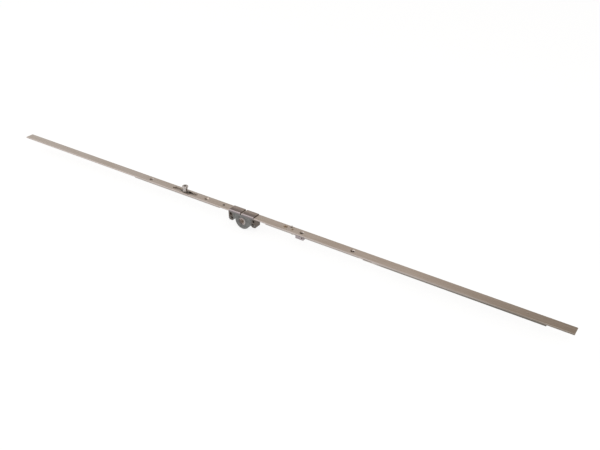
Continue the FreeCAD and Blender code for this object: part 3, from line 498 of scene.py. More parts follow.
# The gear case's zinc, darker and browner on both ears
CASTING = CastZinc("die_cast_zinc", "die_cast_zinc", "7A7A78", "6A6A68", "ACA8A8", 0.44,
                   layers=(Layer("65584E", (17.0, 23.0), 0.75, mirrored=True, ragged=12.0),))
BLOCK_ZINC = CastZinc("die_cast_block_zinc", "block_zinc", "A9A0A1", "9A9193", "CEC6C8", 0.42)
# Painted shade: the cam's carrier is coloured darker, standing in for the shade it lies in under the strip
SHADED_CARRIER = CastZinc("cam_carrier_zinc_painted_shade", "die_cast_zinc", "6E6A66", "5D5955", "A09A95", 0.42)
# The follower's iron, with a painted highlight on its right side and painted shade on its low left side
SINTER = SinteredSteel("oil_soaked_sintered_steel", "sintered_steel", "A49995", "928884", "C6BDB8", 0.5,
                       layers=(Layer("B4AFAC", (3.3, 4.2), 0.7),
                               Layer("544B49", (-1.8, -3.2), 0.85, (0.85, 0.0, 0.53))))
# Walls of the follower's square socket: bright from the broach, and painted lighter, standing in for light
# inside the socket
BROACHED_AND_LIT_SOCKET = SinteredSteel("broached_socket_walls_painted_light", "sintered_steel", "D6CDC6", "C8BFB8", "E0D8D2", 0.46)
ACETAL = MouldedAcetal("moulded_grey_acetal", "acetal", "6B6968", "5E5C5B", "A09C9B", 0.38, metallic=0.0)
TURNED = TurnedSteel("turned_plated_steel", "turned_steel", "B9B3AF", "A69F9B", "DCD8D5", 0.28)
CAM_STEEL = TurnedSteel("turned_cam_steel", "turned_steel", "B9B3AF", "A69F9B", "DCD8D5", 0.28,
                        centre=(-128.2, 0.0, 0.0))
RIVETING = BrightPlating("bright_zinc_rivet", "bright_rivet", "ADA49C", "9B928A", "E2E0DD", 0.28)
# Bright zinc on a hollow rivet, with painted shade everywhere but its rear right side
EYELET = BrightPlating("bright_zinc_hollow_rivet", "bright_rivet", "B4ABA4", "A69D96", "DEDAD6", 0.28,
                       layers=(Layer("857B74", (1.4, 0.4), 0.9, (0.7, 0.7, 0.0)),))
# Painted shade in the funnel and bore of the hollow rivets
RIVET_FUNNEL_SHADE = BrightPlating("painted_shade_in_the_rivet_funnel", "bright_rivet", "968C85", "8A8079", "A59B94", 0.45)
PHOSPHATED = PhosphatedSteel("phosphated_lever_steel", "phosphated_steel", "AC9D8A", "998B79", "C4B8A6", 0.5)
PIN_END = PhosphatedSteel("phosphated_pin_end", "phosphated_steel", "5D5450", "4E4744", "857C76", 0.48)
WIRE = DrawnWire("drawn_spring_wire", "spring_steel", "77736E", "635F5A", "A5A19B", 0.3)


# Meshes


def rounded(profile: Sequence[Point], radius: float, closed: bool, steps: int = 3) -> list[Point]:
    """Round the corners of a profile.

    Args:
        profile: Corners as (radius, height), in millimetres.
        radius: How far from each corner the rounding starts.
        closed: Whether the last corner joins the first.
        steps: Points of each rounding, less one.

    Returns:
        The corners with a short curve in place of each.
    """
    count = len(profile)
    result: list[Point] = []
    for index, corner in enumerate(profile):
        if not closed and index in (0, count - 1):
            result.append(corner)
            continue
        here = Vector(corner)
        before, after = Vector(profile[index - 1]), Vector(profile[(index + 1) % count])
        start = here + (before - here).normalized() * min(radius, (before - here).length * 0.45)
        end = here + (after - here).normalized() * min(radius, (after - here).length * 0.45)
        for step in range(steps + 1):
            part = step / steps
            spot = start * (1 - part) ** 2 + here * 2 * part * (1 - part) + end * part ** 2
            result.append((spot.x, spot.y))
    return result


def add_object(name: str, data: bpy.types.ID) -> Piece:
    """Put a mesh, a lamp or a camera into the scene.

    Args:
        name: Name of the object.
        data: The mesh, lamp or camera.

    Returns:
        The new object.
    """
    item = bpy.data.objects.new(name, data)
    bpy.context.scene.collection.objects.link(item)
    return item


def finished(bm: Mesh, name: str, finish: Finish) -> Piece:
    """Turn a bmesh into an object with a finish and smooth shading between its edges.

    Args:
        bm: The mesh, in metres; it is freed.
        name: Name of the piece.
        finish: Its finish.

    Returns:
        The new object.
    """
    bmesh.ops.remove_doubles(bm, verts=bm.verts, dist=2e-7)
    bmesh.ops.recalc_face_normals(bm, faces=bm.faces)
    mesh = bpy.data.meshes.new(name)
    bm.to_mesh(mesh)
    bm.free()
    mesh.shade_smooth()
    mesh.set_sharp_from_angle(angle=math.radians(SHARP_TURN))
    mesh.materials.append(finish.material)
    return add_object(name, mesh)


def skin(name: str, rings: Sequence[Sequence[Vector]], finish: Finish, round_trip: bool,
         wrap: bool = True) -> Piece:
    """Stretch a surface over rings of points.

    Args:
        name: Name of the piece.
        rings: Rings with the same number of points, in metres.
        finish: The piece's finish.
        round_trip: Whether the last ring joins the first; otherwise the ends are capped.
        wrap: Whether the last point of a ring joins its first.

    Returns:
        The new object.
    """
    bm = bmesh.new()
    grid = [[bm.verts.new(point) for point in ring] for ring in rings]
    size = len(grid[0])
    steps = size if wrap else size - 1
    spans = len(grid) if round_trip else len(grid) - 1
    for first in range(spans):
        one, two = grid[first], grid[(first + 1) % len(grid)]
        for index in range(steps):
            following = (index + 1) % size
            bm.faces.new((one[index], one[following], two[following], two[index]))
    if not round_trip:
        bm.faces.new(grid[0])
        bm.faces.new(grid[-1])
    return finished(bm, name, finish)


def lathe(name: str, profile: Sequence[Point], finish: Finish, at: Place, axis: Axis = Axis.UPRIGHT,
          rounding: float = 0.15, segments: int = 56) -> Piece:
    """Turn a profile about its axis.

    Args:
        name: Name of the piece.
        profile: Corners as (radius, height) in millimetres. It is open if it starts on the axis.
        finish: The piece's finish.
        at: Place of the axis and of height 0, in millimetres.
        axis: Which way the axis points; heights grow along it.
        rounding: Size of the rounding of each corner.
        segments: Sides of the turned form.

    Returns:
        The new object, with its origin on the axis.
    """
    solid = profile[0][0] == 0
    outline = rounded(profile, rounding, closed=not solid)
    rings = []
    for step in range(segments):
        angle = 2 * math.pi * step / segments
        across, over = math.cos(angle), math.sin(angle)
        ring = [(radius * across, radius * over, height) for radius, height in outline]
        if axis is Axis.CROSSWISE:
            ring = [(x, height, z) for x, z, height in ring]
        rings.append([Vector(corner) * MM for corner in ring])
    piece = skin(name, rings, finish, round_trip=True, wrap=not solid)
    piece.location = Vector(at) * MM
    return piece


def tube(name: str, path: Sequence[Vector], radius: float, finish: Finish, sides: int = 10) -> Piece:
    """Round wire along a path.

    Args:
        name: Name of the piece.
        path: Points in millimetres.
        radius: Radius of the wire, in millimetres.
        finish: The piece's finish.
        sides: Sides of the wire.

    Returns:
        The new object.
    """
    rings = []
    side = Vector((0.0, 0.0, 1.0))
    for index, point in enumerate(path):
        heading = (path[min(index + 1, len(path) - 1)] - path[max(index - 1, 0)]).normalized()
        side = (side - heading * side.dot(heading)).normalized()
        other = heading.cross(side)
        angles = [2 * math.pi * step / sides for step in range(sides)]
        rings.append([(point + (side * math.cos(a) + other * math.sin(a)) * radius) * MM for a in angles])
    return skin(name, rings, finish, round_trip=False)


def round_off(bm: Mesh, edges: list[bmesh.types.BMEdge], width: float, segments: int) -> None:
    """Round edges by a width in millimetres, in the given number of steps."""
    bmesh.ops.bevel(bm, geom=edges, offset=width * MM, offset_type="OFFSET", segments=segments, profile=0.5,
                    affect="EDGES", clamp_overlap=False, miter_outer="ARC")


def hard_edges(bm: Mesh) -> list[bmesh.types.BMEdge]:
    """Edges that punching, casting or tumbling rounds."""
    turn = math.radians(HARD_TURN)
    return [edge for edge in bm.edges if edge.is_manifold and edge.calc_face_angle(0.0) > turn]


def fill_flats(bm: Mesh) -> None:
    """Fill every flat region afresh from its outline, because rounding folds many-sided faces over.

    Args:
        bm: The mesh, in metres.
    """
    near = FLAT_WITHIN * MM
    done: set[bmesh.types.BMFace] = set()
    regions = []
    for start in [face for face in bm.faces if len(face.verts) > 4]:
        if start in done:
            continue
        normal, level = start.normal.copy(), start.normal.dot(start.verts[0].co)
        # Dictionaries keep their order, so that the filling is the same on each run
        region, queue = {start: True}, [start]
        while queue:
            for edge in queue.pop().edges:
                for face in edge.link_faces:
                    flat = all(abs(normal.dot(v.co) - level) < near for v in face.verts)
                    if face not in region and flat and face.normal.dot(normal) > 0:
                        region[face] = True
                        queue.append(face)
        done.update(region)
        regions.append((region, normal))
    for region, normal in regions:
        sides = {edge: sum(face in region for face in edge.link_faces)
                 for member in region for edge in member.edges}
        outline = [edge for edge, count in sides.items() if count == 1]
        inner = [edge for edge, count in sides.items() if count > 1]
        bmesh.ops.delete(bm, geom=list(region), context="FACES_ONLY")
        bmesh.ops.delete(bm, geom=inner, context="EDGES")
        bmesh.ops.triangle_fill(bm, use_beauty=True, edges=outline, normal=normal)


def softened(node: str, name: str, finish: Finish, width: float, long_width: float = 0.0) -> Piece:
    """Copy a solid of the frame and round its hard edges, as punching, casting or tumbling leaves them.

    Args:
        node: Node of the frame.
        name: Name of the piece.
        finish: The piece's finish.
        width: Width of the rounding, in millimetres.
        long_width: The same for the long edges at the node's sides, where they are rounded first.

    Returns:
        The new object.
    """
    bm = bmesh.new()
    bm.from_mesh(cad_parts[node].data)
    bmesh.ops.remove_doubles(bm, verts=bm.verts, dist=FLAT_WITHIN * MM)
    bmesh.ops.dissolve_limit(bm, angle_limit=math.radians(0.4), verts=bm.verts, edges=bm.edges)
    if long_width:
        low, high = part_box(node)
        near = 0.01 * MM
        sides = [edge for edge in hard_edges(bm)
                 if all(min(abs(v.co.y - low[1]), abs(v.co.y - high[1])) < near for v in edge.verts)
                 and abs(edge.verts[0].co.z - edge.verts[1].co.z) < near]
        round_off(bm, sides, long_width, 3)
    round_off(bm, hard_edges(bm), width, 2)
    fill_flats(bm)
    piece = finished(bm, name, finish)
    weights = piece.modifiers.new("even_shading", "WEIGHTED_NORMAL")
    weights.keep_sharp = True
    return piece


def paint(piece: Piece, finishes: Sequence[Finish], choose: Callable[[Face], Finish | None]) -> None:
    """Give some faces of a piece finishes of their own.

    Args:
        piece: The piece.
        finishes: The finishes, in the order of their material slots.
        choose: Gives the finish of a face, or None where it keeps the piece's own.
    """
    for finish in finishes:
        piece.data.materials.append(finish.material)
    for face in piece.data.polygons:
        finish = choose(face)
        if finish is not None:
            face.material_index = 1 + finishes.index(finish)


@dataclass
class SubAssembly:
    """Pieces that are built together, most of them on one body."""

    body: Body = Body.PLATE

    def keep(self, piece: Piece, finish: Finish, *nodes: str, body: Body | None = None) -> None:
        """Put a piece on its body of the frame and report it.

        Args:
            piece: The new piece.
            finish: Its finish, whose slot it stands for.
            *nodes: Solids of the frame that it is shown in place of.
            body: The body that it moves with, if not the sub-assembly's.
        """
        body = body or self.body
        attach(piece, body.value)
        if nodes:
            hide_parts(*nodes)
        LOG.info("%s: %s, on %s", piece.name, finish.name, body.value)

    def dress(self, node: str, name: str, finish: Finish, *widths: float, body: Body | None = None) -> None:
        """Show a solid of the frame as its own copy, with its edges rounded by the given widths."""
        self.keep(softened(node, name, finish, *widths), finish, node, body=body)

    def turn(self, name: str, profile: Sequence[Point], finish: Finish, at: Place, *nodes: str,
             body: Body | None = None, **form: object) -> None:
        """Turn a piece from its profile and put it on its body."""
        self.keep(lathe(name, profile, finish, at, **form), finish, *nodes, body=body)

    def build(self) -> None:
        """Build and dress the pieces of the sub-assembly."""
        raise NotImplementedError


@dataclass
class FaceplateStrip(SubAssembly):
    """The long punched strip that shows in the edge of the open sash."""

    punch_round: float = 0.2
    edge_round: float = 0.75
    window: tuple[Point, Point] = ((79.0, 92.0), (-3.0, 6.0))
    fixing_x: float = -80.5
    fixing_head: float = 3.8
    gauge_x: float = -42.6
    hole_radius: float = 2.2
    # Radius and heights of a dark disc at the lower end of the fixing hole: painted shade on the rail seen
    # through the hole
    shade_disc_radius: float = 2.15
    shade_disc_height: Point = (12.46, 12.54)

    def build(self) -> None:
        """Strip with rolled edges and punched holes, then a dark disc of painted shade that stands in one of
        them.
        """
        strip = softened("faceplate", "faceplate_strip", STRIP, self.punch_round, self.edge_round)
        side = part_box("faceplate")[1][1] - self.edge_round * MM
        paint(strip, (SLIT_EDGE, SHAVED_AND_HIGHLIGHT, GAUGE_HOLE_SHADE, FIXING_HOLE_SHADE), lambda face: self.finish_of(face, side))
        self.keep(strip, STRIP, "faceplate")
        low, high = self.shade_disc_height
        shade_disc = [(0, low), (self.shade_disc_radius, low), (self.shade_disc_radius, high), (0, high)]
        self.turn("painted_shade_disc_under_the_fixing_hole", shade_disc, FIXING_HOLE_SHADE, (self.fixing_x, 0.0, 0.0),
                  rounding=0.02, segments=32)

    def finish_of(self, face: Face, side: float) -> Finish | None:
        """Finish of the strip's long sides and of the walls of its openings, with painted shade and a painted
        highlight in the holes.

        Args:
            face: A face of the strip.
            side: Distance from the middle, in metres, beyond which a face belongs to a long side.

        Returns:
            The face's own finish, or None where it has the rolled skin.
        """
        x, y = face.center.x / MM, face.center.y / MM
        rise = abs(face.normal.z)
        (left, right), (front, rear) = self.window
        bore = self.hole_radius + 0.1
        if abs(face.normal.y) > 0.5 and abs(face.center.y) > side:
            return SLIT_EDGE
        if rise < 0.5 and left < x < right and front < y < rear:
            return SHAVED_AND_HIGHLIGHT
        # Painted shade on the walls of the gauge hole
        if rise < 0.3 and math.hypot(x - self.gauge_x, y) < bore:
            return GAUGE_HOLE_SHADE
        # Painted shade on the bore and the left of the fixing hole's countersink, and a painted highlight on
        # its rear half
        from_axis = math.hypot(x - self.fixing_x, y)
        if rise < 0.9 and from_axis < self.fixing_head:
            dark = from_axis < bore if rise < 0.3 else x < self.fixing_x - self.hole_radius / 2
            if dark:
                return FIXING_HOLE_SHADE
            if y > 0:
                return SHAVED_AND_HIGHLIGHT
        return None


@dataclass
class GearCase(SubAssembly):
    """Cast case in two halves, with its rivets, bearing bushes and the folded covers over the strip."""

    cast_round: float = 0.4
    cover_round: float = 0.22
    half_depth: float = 6.0
    rivet_places: Corners = ((-17.0, 6.0), (17.0, 6.0), (-26.0, -0.6), (26.0, -0.6))
    rivet_shank: float = 1.3
    rivet_head: float = 2.0
    head_height: float = 0.6
    # Radii and depths below its top of the rivet's dimple and low dome
    rivet_dome: Corners = ((0, 0.2), (0.45, 0.16), (0.7, 0), (1.6, 0.08), (2.0, 0.35))
    screw_x: float = 21.5
    screw_core: float = 2.1
    thread_pitch: float = 0.8
    thread_depth: float = 0.16
    # How far the thread's foot lies in the wall, and half of its width as a share of the pitch
    thread_foot: float = 0.02
    thread_half: float = 0.4
    thread_sides: int = 20
    bush_bore: float = 6.65
    bush_sleeve: float = 7.6
    bush_flange: float = 9.0
    flange_inner: float = 3.1
    flange_outer: float = 4.7
    ejector_places: Corners = ((-12.2, 8.0), (12.2, 8.0), (0.0, -12.0))
    # Radii and heights over the cast face of the low rim that an ejector pin leaves
    ejector_rim: Corners = ((0.82, -0.1), (1.0, 0.1), (1.12, 0.1), (1.3, -0.1))

    def build(self) -> None:
        """Both halves and their covers, then what is fixed in them or left on them."""
        for side in ("front", "rear"):
            self.dress(f"gearbox_{side}_shell", f"case_half_{side}", CASTING, self.cast_round)
        for side in ("left", "right"):
            self.dress(f"saddle_{side}", f"cover_{side}", SHEET, self.cover_round)
        for number, (x, z) in enumerate(self.rivet_places, start=1):
            self.turn(f"case_rivet_{number}", self.rivet(), CASTING, (x, 0.0, z), "gearbox_rivets",
                      axis=Axis.CROSSWISE, rounding=0.12, segments=32)
        for side, sign in (("front", -1), ("rear", 1)):
            bush = [(radius, sign * height) for radius, height in self.bush()]
            self.turn(f"bearing_bush_{side}", bush, ACETAL, (0.0, 0.0, 0.0), f"pinion_bush_{side}",
                      axis=Axis.CROSSWISE, rounding=0.2)
            rim = [(radius, sign * (self.half_depth + rise)) for radius, rise in self.ejector_rim]
            for number, (x, z) in enumerate(self.ejector_places, start=1):
                self.turn(f"ejector_mark_{side}_{number}", rim, CASTING, (x, 0.0, z), axis=Axis.CROSSWISE,
                          rounding=0.05, segments=24)
        for side, sign in (("left", -1), ("right", 1)):
            thread = skin(f"screw_thread_{side}", self.thread(sign * self.screw_x), CASTING, round_trip=False)
            self.keep(thread, CASTING)

    def rivet(self) -> list[Point]:
        """Profile of a spigot of the casting through both halves, with a dimpled dome at each end.

        Returns:
            Corners as (radius, height), in millimetres.
        """
        top = self.half_depth + self.head_height
        half = [(radius, top - depth) for radius, depth in self.rivet_dome]
        half += [(self.rivet_head, self.half_depth), (self.rivet_shank, self.half_depth)]
        return half + [(radius, -height) for radius, height in reversed(half)]

    def bush(self) -> list[Point]:
        """Profile of a flanged plastic ring for the follower's hub: radius, distance from the middle."""
        return [(self.bush_bore, self.flange_inner), (self.bush_flange, self.flange_inner),
                (self.bush_flange, self.flange_outer), (self.bush_sleeve, self.flange_outer),
                (self.bush_sleeve, self.half_depth), (self.bush_bore, self.half_depth)]

    def thread(self, x: float) -> list[list[Vector]]:
        """Sections of the crest of the M5 thread that runs down an ear's bore.

        Args:
            x: Axis of the bore.

        Returns:
            Triangles along the thread, in metres.
        """
        turns = int((self.half_depth * 2 - self.thread_pitch) / self.thread_pitch)
        foot, crest = self.screw_core + self.thread_foot, self.screw_core - self.thread_depth
        half = self.thread_pitch * self.thread_half
        rings = []
        for step in range(turns * self.thread_sides + 1):
            angle = 2 * math.pi * step / self.thread_sides
            middle = -self.half_depth + self.thread_pitch * (0.5 + step / self.thread_sides)
            section = [(foot, middle - half), (crest, middle), (foot, middle + half)]
            rings.append([Vector((x + radius * math.cos(angle), y, radius * math.sin(angle))) * MM
                          for radius, y in section])
        return rings


@dataclass
class Follower(SubAssembly):
    """The toothed follower that the handle's square spindle turns."""

    body: Body = Body.FOLLOWER
    tooth_round: float = 0.12
    socket: float = 7.0

    def build(self) -> None:
        """Sintered wheel, with the walls of its square socket bright from the broach and painted lighter,
        standing in for light inside the socket.
        """
        wheel = softened("pinion", "follower_wheel", SINTER, self.tooth_round)
        wall = (self.socket / 2 + self.tooth_round) * MM
        paint(wheel, (BROACHED_AND_LIT_SOCKET,), lambda face: BROACHED_AND_LIT_SOCKET if abs(face.normal.y) < 0.5
              and max(abs(face.center.x), abs(face.center.z)) < wall else None)
        self.keep(wheel, SINTER, "pinion")


@dataclass
class RailTrain(SubAssembly):
    """Rack rail, extension rail and the carrier of the cam."""

    body: Body = Body.RAILS
    punch_round: float = 0.18
    edge_round: float = 0.45
    carrier_round: float = 0.3
    rail_top: float = 12.4
    rail_low: float = 9.9
    lap_places: tuple[float, ...] = (234.0, 241.0)
    lap_shank: float = 1.5
    # Radius and depth of the tool's dimple in both ends of a lap rivet, and the depth in its middle
    lap_dimple: Point = (0.6, 0.1)
    lap_hollow: float = 0.15
    carrier_places: tuple[float, ...] = (-136.0, -122.0)
    # Radii and depths of the dimple in a carrier rivet's upper end
    carrier_dimple: Corners = ((0, 0.2), (0.4, 0.15), (0.7, 0))
    carrier_top: float = 15.9
    carrier_shank: float = 1.1
    head_height: float = 0.6
    head_chamfer: float = 0.25

    def build(self) -> None:
        """Both rails, the carrier and the rivets that join them."""
        for node in ("drive_rail", "extension_rail"):
            self.dress(node, f"{node}_strip", RAIL, self.punch_round, self.edge_round)
        self.dress("cam_carrier", "cam_carrier_block", SHADED_CARRIER, self.carrier_round)
        top, low = self.rail_top, self.rail_low
        radius, depth = self.lap_dimple
        lap = [(0, top - self.lap_hollow), (radius, top - depth), (self.lap_shank, top),
               (self.lap_shank, low), (radius, low + depth), (0, low + self.lap_hollow)]
        shank, head, foot = self.carrier_shank, self.carrier_shank + self.head_height, low - self.head_height
        carrier = [(radius, self.carrier_top - depth) for radius, depth in self.carrier_dimple]
        carrier += [(shank, self.carrier_top), (shank, low), (head, low), (head, foot + self.head_chamfer),
                    (head * 0.75, foot), (0, foot)]
        for name, places, profile, node in (("lap_joint_rivet", self.lap_places, lap, "lap_rivets"),
                                            ("carrier_foot_rivet", self.carrier_places, carrier,
                                             "carrier_rivets")):
            for number, x in enumerate(places, start=1):
                self.turn(f"{name}_{number}", profile, RIVETING, (x, 0.0, 0.0), node, segments=28)


@dataclass
class MushroomCam(SubAssembly):
    """Eccentric mushroom pin and the sleeve that rolls on it."""

    body: Body = Body.CAM
    edge_round: float = 0.15
    roller_x: float = -128.2
    roller_low: float = 16.95
    roller_length: float = 6.2
    roller_bore: float = 2.95
    roller_outer: float = 4.25
    end_bevel: float = 0.45

    def build(self) -> None:
        """Pin with its hexagon socket, then the roller."""
        self.dress("cam_pin", "mushroom_pin", CAM_STEEL, self.edge_round)
        length, outer, bevel = self.roller_length, self.roller_outer, self.end_bevel
        profile = [(self.roller_bore, 0), (outer - bevel, 0), (outer, bevel), (outer, length - bevel),
                   (outer - bevel, length), (self.roller_bore, length)]
        self.turn("roller_sleeve", profile, TURNED, (self.roller_x, 0.0, self.roller_low), "cam_roller",
                  body=Body.ROLLER, rounding=0.1)


@dataclass
class Guides(SubAssembly):
    """Hollow guide rivets with their washers, and the guide rivet of the extension rail."""

    top: float = 15.0
    guide_x: float = 208.5
    end_x: float = 480.0
    block_x: float = 115.6
    bore: float = 2.1
    wall: float = 0.5
    # Radius of the funnel in an eyelet's upper end, whose faces get painted shade
    funnel: float = 2.75
    flange: float = 4.0
    head_height: float = 0.6
    washer_low: float = 9.0
    washer_top: float = 9.8
    washer_radius: float = 4.6
    block_low: float = 6.5
    end_shank: float = 2.0
    # Radii and depths of the dimple in the end rivet, and the height of its head's chamfer
    end_dimple: Corners = ((0, 0.12), (0.7, 0.08))
    end_chamfer: float = 0.2

    def build(self) -> None:
        """Three eyelets, three washers and the end rivet."""
        low = self.washer_low - self.head_height
        for name, x, bottom, node in (("guide_rivet_left", -self.guide_x, low, "guide_eyelets"),
                                      ("guide_rivet_right", self.guide_x, low, "guide_eyelets"),
                                      ("block_rivet", self.block_x, self.block_low, "block_eyelet")):
            eyelet = lathe(name, self.eyelet(bottom), EYELET, (x, 0.0, 0.0), rounding=0.2)
            paint(eyelet, (RIVET_FUNNEL_SHADE,),
                  lambda face: RIVET_FUNNEL_SHADE if face.center.xy.length < self.funnel * MM else None)
            self.keep(eyelet, EYELET, node)
        outer = self.bore + self.wall
        for side, x, bore in (("left", -self.guide_x, outer), ("right", self.guide_x, outer),
                              ("end", self.end_x, self.end_shank)):
            washer = [(bore, self.washer_low), (self.washer_radius, self.washer_low),
                      (self.washer_radius, self.washer_top), (bore, self.washer_top)]
            self.turn(f"rail_washer_{side}", washer, RAIL, (x, 0.0, 0.0), "guide_washers")
        shank, head = self.end_shank, self.end_shank * 2
        rivet = [(radius, self.top - depth) for radius, depth in self.end_dimple]
        rivet += [(shank, self.top), (shank, self.washer_low), (head, self.washer_low),
                  (head, low + self.end_chamfer), (head * 0.8, low), (0, low)]
        self.turn("extension_guide_rivet", rivet, END_RIVETING, (self.end_x, 0.0, 0.0), "end_guide_rivet")

    def eyelet(self, low: float) -> list[Point]:
        """Profile of a hollow rivet: countersunk flange on top, a flange rolled over below.

        Args:
            low: Height of its lower end.

        Returns:
            Corners as (radius, height), in millimetres.
        """
        outer = self.bore + self.wall
        sink = self.flange - outer
        return [(self.bore, low), (self.flange, low), (self.flange, low + self.head_height),
                (outer, low + self.head_height), (outer, self.top - sink), (self.flange, self.top),
                (self.flange - self.wall / 2, self.top), (self.bore + self.wall / 2, self.top - sink),
                (self.bore, self.top - sink - self.wall)]


@dataclass
class SupportBlock(SubAssembly):
    """Cast block under the strip that a fixing screw goes through."""

    cast_round: float = 0.35
    pin_place: Place = (120.4, 0.0, 10.6)
    pin_radius: float = 1.38
    pin_inner: float = 7.2
    pin_face: float = 7.85
    # Radius and depth of the dimple in the pin's end
    pin_dimple: Point = (0.5, 0.2)

    def build(self) -> None:
        """Block with its channel for the rail, and the dark pin end in its front."""
        self.dress("support_block", "screw_support_block", BLOCK_ZINC, self.cast_round)
        radius, depth = self.pin_dimple
        profile = [(0, -self.pin_inner), (self.pin_radius, -self.pin_inner),
                   (self.pin_radius, -self.pin_face), (radius, -self.pin_face), (0, depth - self.pin_face)]
        self.turn("block_pin_end", profile, PIN_END, self.pin_place, axis=Axis.CROSSWISE, segments=32)


@dataclass
class SafetyCatch(SubAssembly):
    """Lever with its sensing pin, pivot rivet and wire spring."""

    punch_round: float = 0.2
    pivot: Point = (97.9, -0.4)
    sensor: Point = (92.8, 5.7)
    lever_low: float = 10.2
    sensor_radius: float = 1.1
    sensor_tip: float = 17.4
    top: float = 15.0
    pivot_radius: float = 1.3
    pivot_head: float = 2.4
    pivot_bore: float = 0.9
    bore_depth: float = 1.6
    head_top: float = 7.5
    head_height: float = 0.6
    wire_radius: float = 0.25
    coil_radius: float = 2.3
    coil_low: float = 7.85
    coil_pitch: float = 0.95
    coil_turns: int = 2
    coil_steps: int = 24
    long_leg: float = 12.2
    short_leg: float = 6.0

    def build(self) -> None:
        """Lever and pin on the lever's body, rivet and spring on the strip."""
        self.dress("safety_lever", "catch_lever", PHOSPHATED, self.punch_round, body=Body.LEVER)
        tip, radius = self.sensor_tip, self.sensor_radius
        pin = [(0, self.lever_low), (radius, self.lever_low), (radius, tip - radius / 2), (radius / 2, tip),
               (0, tip)]
        self.turn("catch_sensor_pin", pin, TURNED, (*self.sensor, 0.0), "sensor_pin", body=Body.LEVER,
                  segments=32)
        bottom = self.top - self.bore_depth
        shank, head, foot = self.pivot_radius, self.pivot_head, self.head_top - self.head_height
        rivet = [(0, bottom), (self.pivot_bore, bottom), (self.pivot_bore, self.top), (head, self.top),
                 (shank, self.top - (head - shank)), (shank, self.head_top), (head, self.head_top),
                 (head, foot), (0, foot)]
        self.turn("catch_pivot_rivet", rivet, PHOSPHATED, (*self.pivot, 0.0), "lever_rivet", segments=32)
        self.keep(tube("catch_spring", self.wire(), self.wire_radius, WIRE), WIRE, "lever_spring")

    def wire(self) -> list[Vector]:
        """Path of the spring: the long leg, the turns about the pivot and the short leg.

        Returns:
            Points in millimetres.
        """
        x, y = self.pivot
        side = y + self.coil_radius
        points = [Vector((x + self.long_leg * part / 6, side, self.coil_low)) for part in range(6, 0, -1)]
        for step in range(self.coil_turns * self.coil_steps + 1):
            angle = math.pi / 2 + 2 * math.pi * step / self.coil_steps
            points.append(Vector((x + self.coil_radius * math.cos(angle),
                                  y + self.coil_radius * math.sin(angle),
                                  self.coil_low + self.coil_pitch * step / self.coil_steps)))
        high = self.coil_low + self.coil_pitch * self.coil_turns
        return points + [Vector((x - self.short_leg * part / 3, side, high)) for part in range(1, 4)]


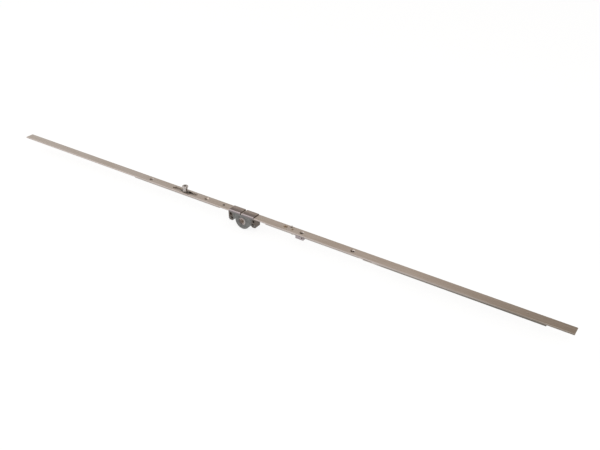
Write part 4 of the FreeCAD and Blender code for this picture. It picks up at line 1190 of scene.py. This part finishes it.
@dataclass
class Studio:
    """Camera, plain pale floor, soft lamps and a pale dome."""

    camera_place: Place = (0.64756, -0.80080, 0.62323)
    camera_turn: Place = (58.298, 0.0, 33.78)
    lens: float = 43.11
    floor_level: float = -14.9
    floor_size: float = 30.0
    # Heading along which the dome goes from its dim side to its bright side
    dome_heading: Place = (-0.877, -0.384, -0.291)
    dome_steps: tuple[tuple[float, str], ...] = (
        (0.10, "D3C9C1"), (0.45, "DDD3CB"), (0.60, "D7D1CC"), (0.86, "EFEDEC"), (1.0, "FFFFFF"))
    # Heights, as parts of the dome's radius, between which the tones set in, and those where they end
    dome_rise: Point = (0.06, 0.3)
    dome_crown: Point = (0.68, 0.95)
    dome_light: float = 0.72
    lamps: tuple[tuple[str, Place, float, float], ...] = (
        ("key_softbox", (0.9, -1.3, 1.5), 1.3, 11.0), ("fill_softbox", (-1.4, -0.6, 1.2), 1.4, 5.0))

    def build(self) -> None:
        """Set up the camera, the floor, the lamps, the dome and the view."""
        camera = add_object("camera", bpy.data.cameras.new("camera"))
        camera.location = self.camera_place
        camera.rotation_euler = [math.radians(angle) for angle in self.camera_turn]
        camera.data.lens = self.lens
        camera.data.sensor_width = 36.0
        camera.data.clip_start = 0.01
        bpy.context.scene.camera = camera
        bpy.context.scene.view_settings.view_transform = "Standard"
        self.build_floor()
        self.build_dome()
        for name, place, size, power in self.lamps:
            lamp = add_object(name, bpy.data.lights.new(name, "AREA"))
            lamp.data.shape = "DISK"
            lamp.data.size = size
            lamp.data.energy = power
            lamp.location = place
            lamp.rotation_euler = (-Vector(place)).to_track_quat("-Z", "Y").to_euler()

    def seen_directly(self, tree: Tree) -> Socket:
        """Tell what is seen from what only lights the object.

        Args:
            tree: The node tree that asks.

        Returns:
            1 for what the camera, a reflection or a clear piece shows, otherwise 0.
        """
        rays = add_node(tree, "LightPath").outputs
        seen = calc("MAXIMUM", rays["Is Camera Ray"], rays["Is Glossy Ray"])
        return calc("MAXIMUM", seen, rays["Is Transmission Ray"])

    def build_floor(self) -> None:
        """White floor that keeps a faint shadow: part of its white is its own, the rest is lit."""
        half = self.floor_size / 2
        level = self.floor_level * MM
        mesh = bpy.data.meshes.new("studio_floor")
        corners = [(x * half, y * half, level) for x, y in ((-1, -1), (1, -1), (1, 1), (-1, 1))]
        mesh.from_pydata(corners, [], [(0, 1, 2, 3)])
        floor = add_object("studio_floor", mesh)
        material = bpy.data.materials.new("white_studio_floor")
        material.use_nodes = True
        tree = material.node_tree
        tree.nodes.remove(tree.nodes["Principled BSDF"])
        plain = add_node(tree, "BsdfDiffuse", {"Color": linear("E6E6E6")})
        shaded = add_node(tree, "BsdfDiffuse", {"Color": linear("8A8A8A")})
        white = add_node(tree, "Emission", {"Color": linear("FFFFFF"), "Strength": 0.8})
        both = add_node(tree, "AddShader", {0: shaded.outputs[0], 1: white.outputs[0]})
        mix = add_node(tree, "MixShader",
                       {0: self.seen_directly(tree), 1: plain.outputs[0], 2: both.outputs[0]})
        tree.links.new(mix.outputs[0], tree.nodes["Material Output"].inputs["Surface"])
        mesh.materials.append(material)

    def build_dome(self) -> None:
        """Pale dome: white at the horizon and overhead, with a soft fall of tone between them."""
        world = bpy.data.worlds.new("studio_dome")
        bpy.context.scene.world = world
        world.use_nodes = True
        tree = world.node_tree
        tree.nodes.clear()
        heading = add_node(tree, "TexCoord").outputs["Generated"]
        share = remap(reach(heading, self.dome_heading), (-0.5, 0.5))
        ramp = add_node(tree, "ValToRGB", {0: share})
        steps = ramp.color_ramp.elements
        while len(steps) < len(self.dome_steps):
            steps.new(0.5)
        for element, (position, code) in zip(steps, self.dome_steps):
            element.position = position
            element.color = linear(code)
        height = reach(heading, UPWARDS)
        rise = remap(height, self.dome_rise, interpolation_type="SMOOTHSTEP")
        crown = remap(height, self.dome_crown, (1.0, 0.0), interpolation_type="SMOOTHSTEP")
        tone = add_node(tree, "Mix", {0: calc("MULTIPLY", rise, crown), 6: linear("FFFFFF"),
                                      7: ramp.outputs[0]}, data_type="RGBA")
        shown = add_node(tree, "Background", {"Color": tone.outputs[2], "Strength": 1.0})
        light = add_node(tree, "Background", {"Color": linear("FDFBF9"), "Strength": self.dome_light})
        mix = add_node(tree, "MixShader",
                       {0: self.seen_directly(tree), 1: light.outputs[0], 2: shown.outputs[0]})
        add_node(tree, "OutputWorld", {"Surface": mix.outputs[0]})


def main() -> None:
    """Build the studio and every sub-assembly, in order."""
    logging.basicConfig(level=logging.INFO, format="%(name)s %(message)s")
    Studio().build()
    assemblies: tuple[SubAssembly, ...] = (
        FaceplateStrip(), GearCase(), Follower(), RailTrain(), MushroomCam(), Guides(), SupportBlock(),
        SafetyCatch())
    for assembly in assemblies:
        LOG.info("building %s", type(assembly).__name__)
        assembly.build()


if __name__ == "__main__":
    main()
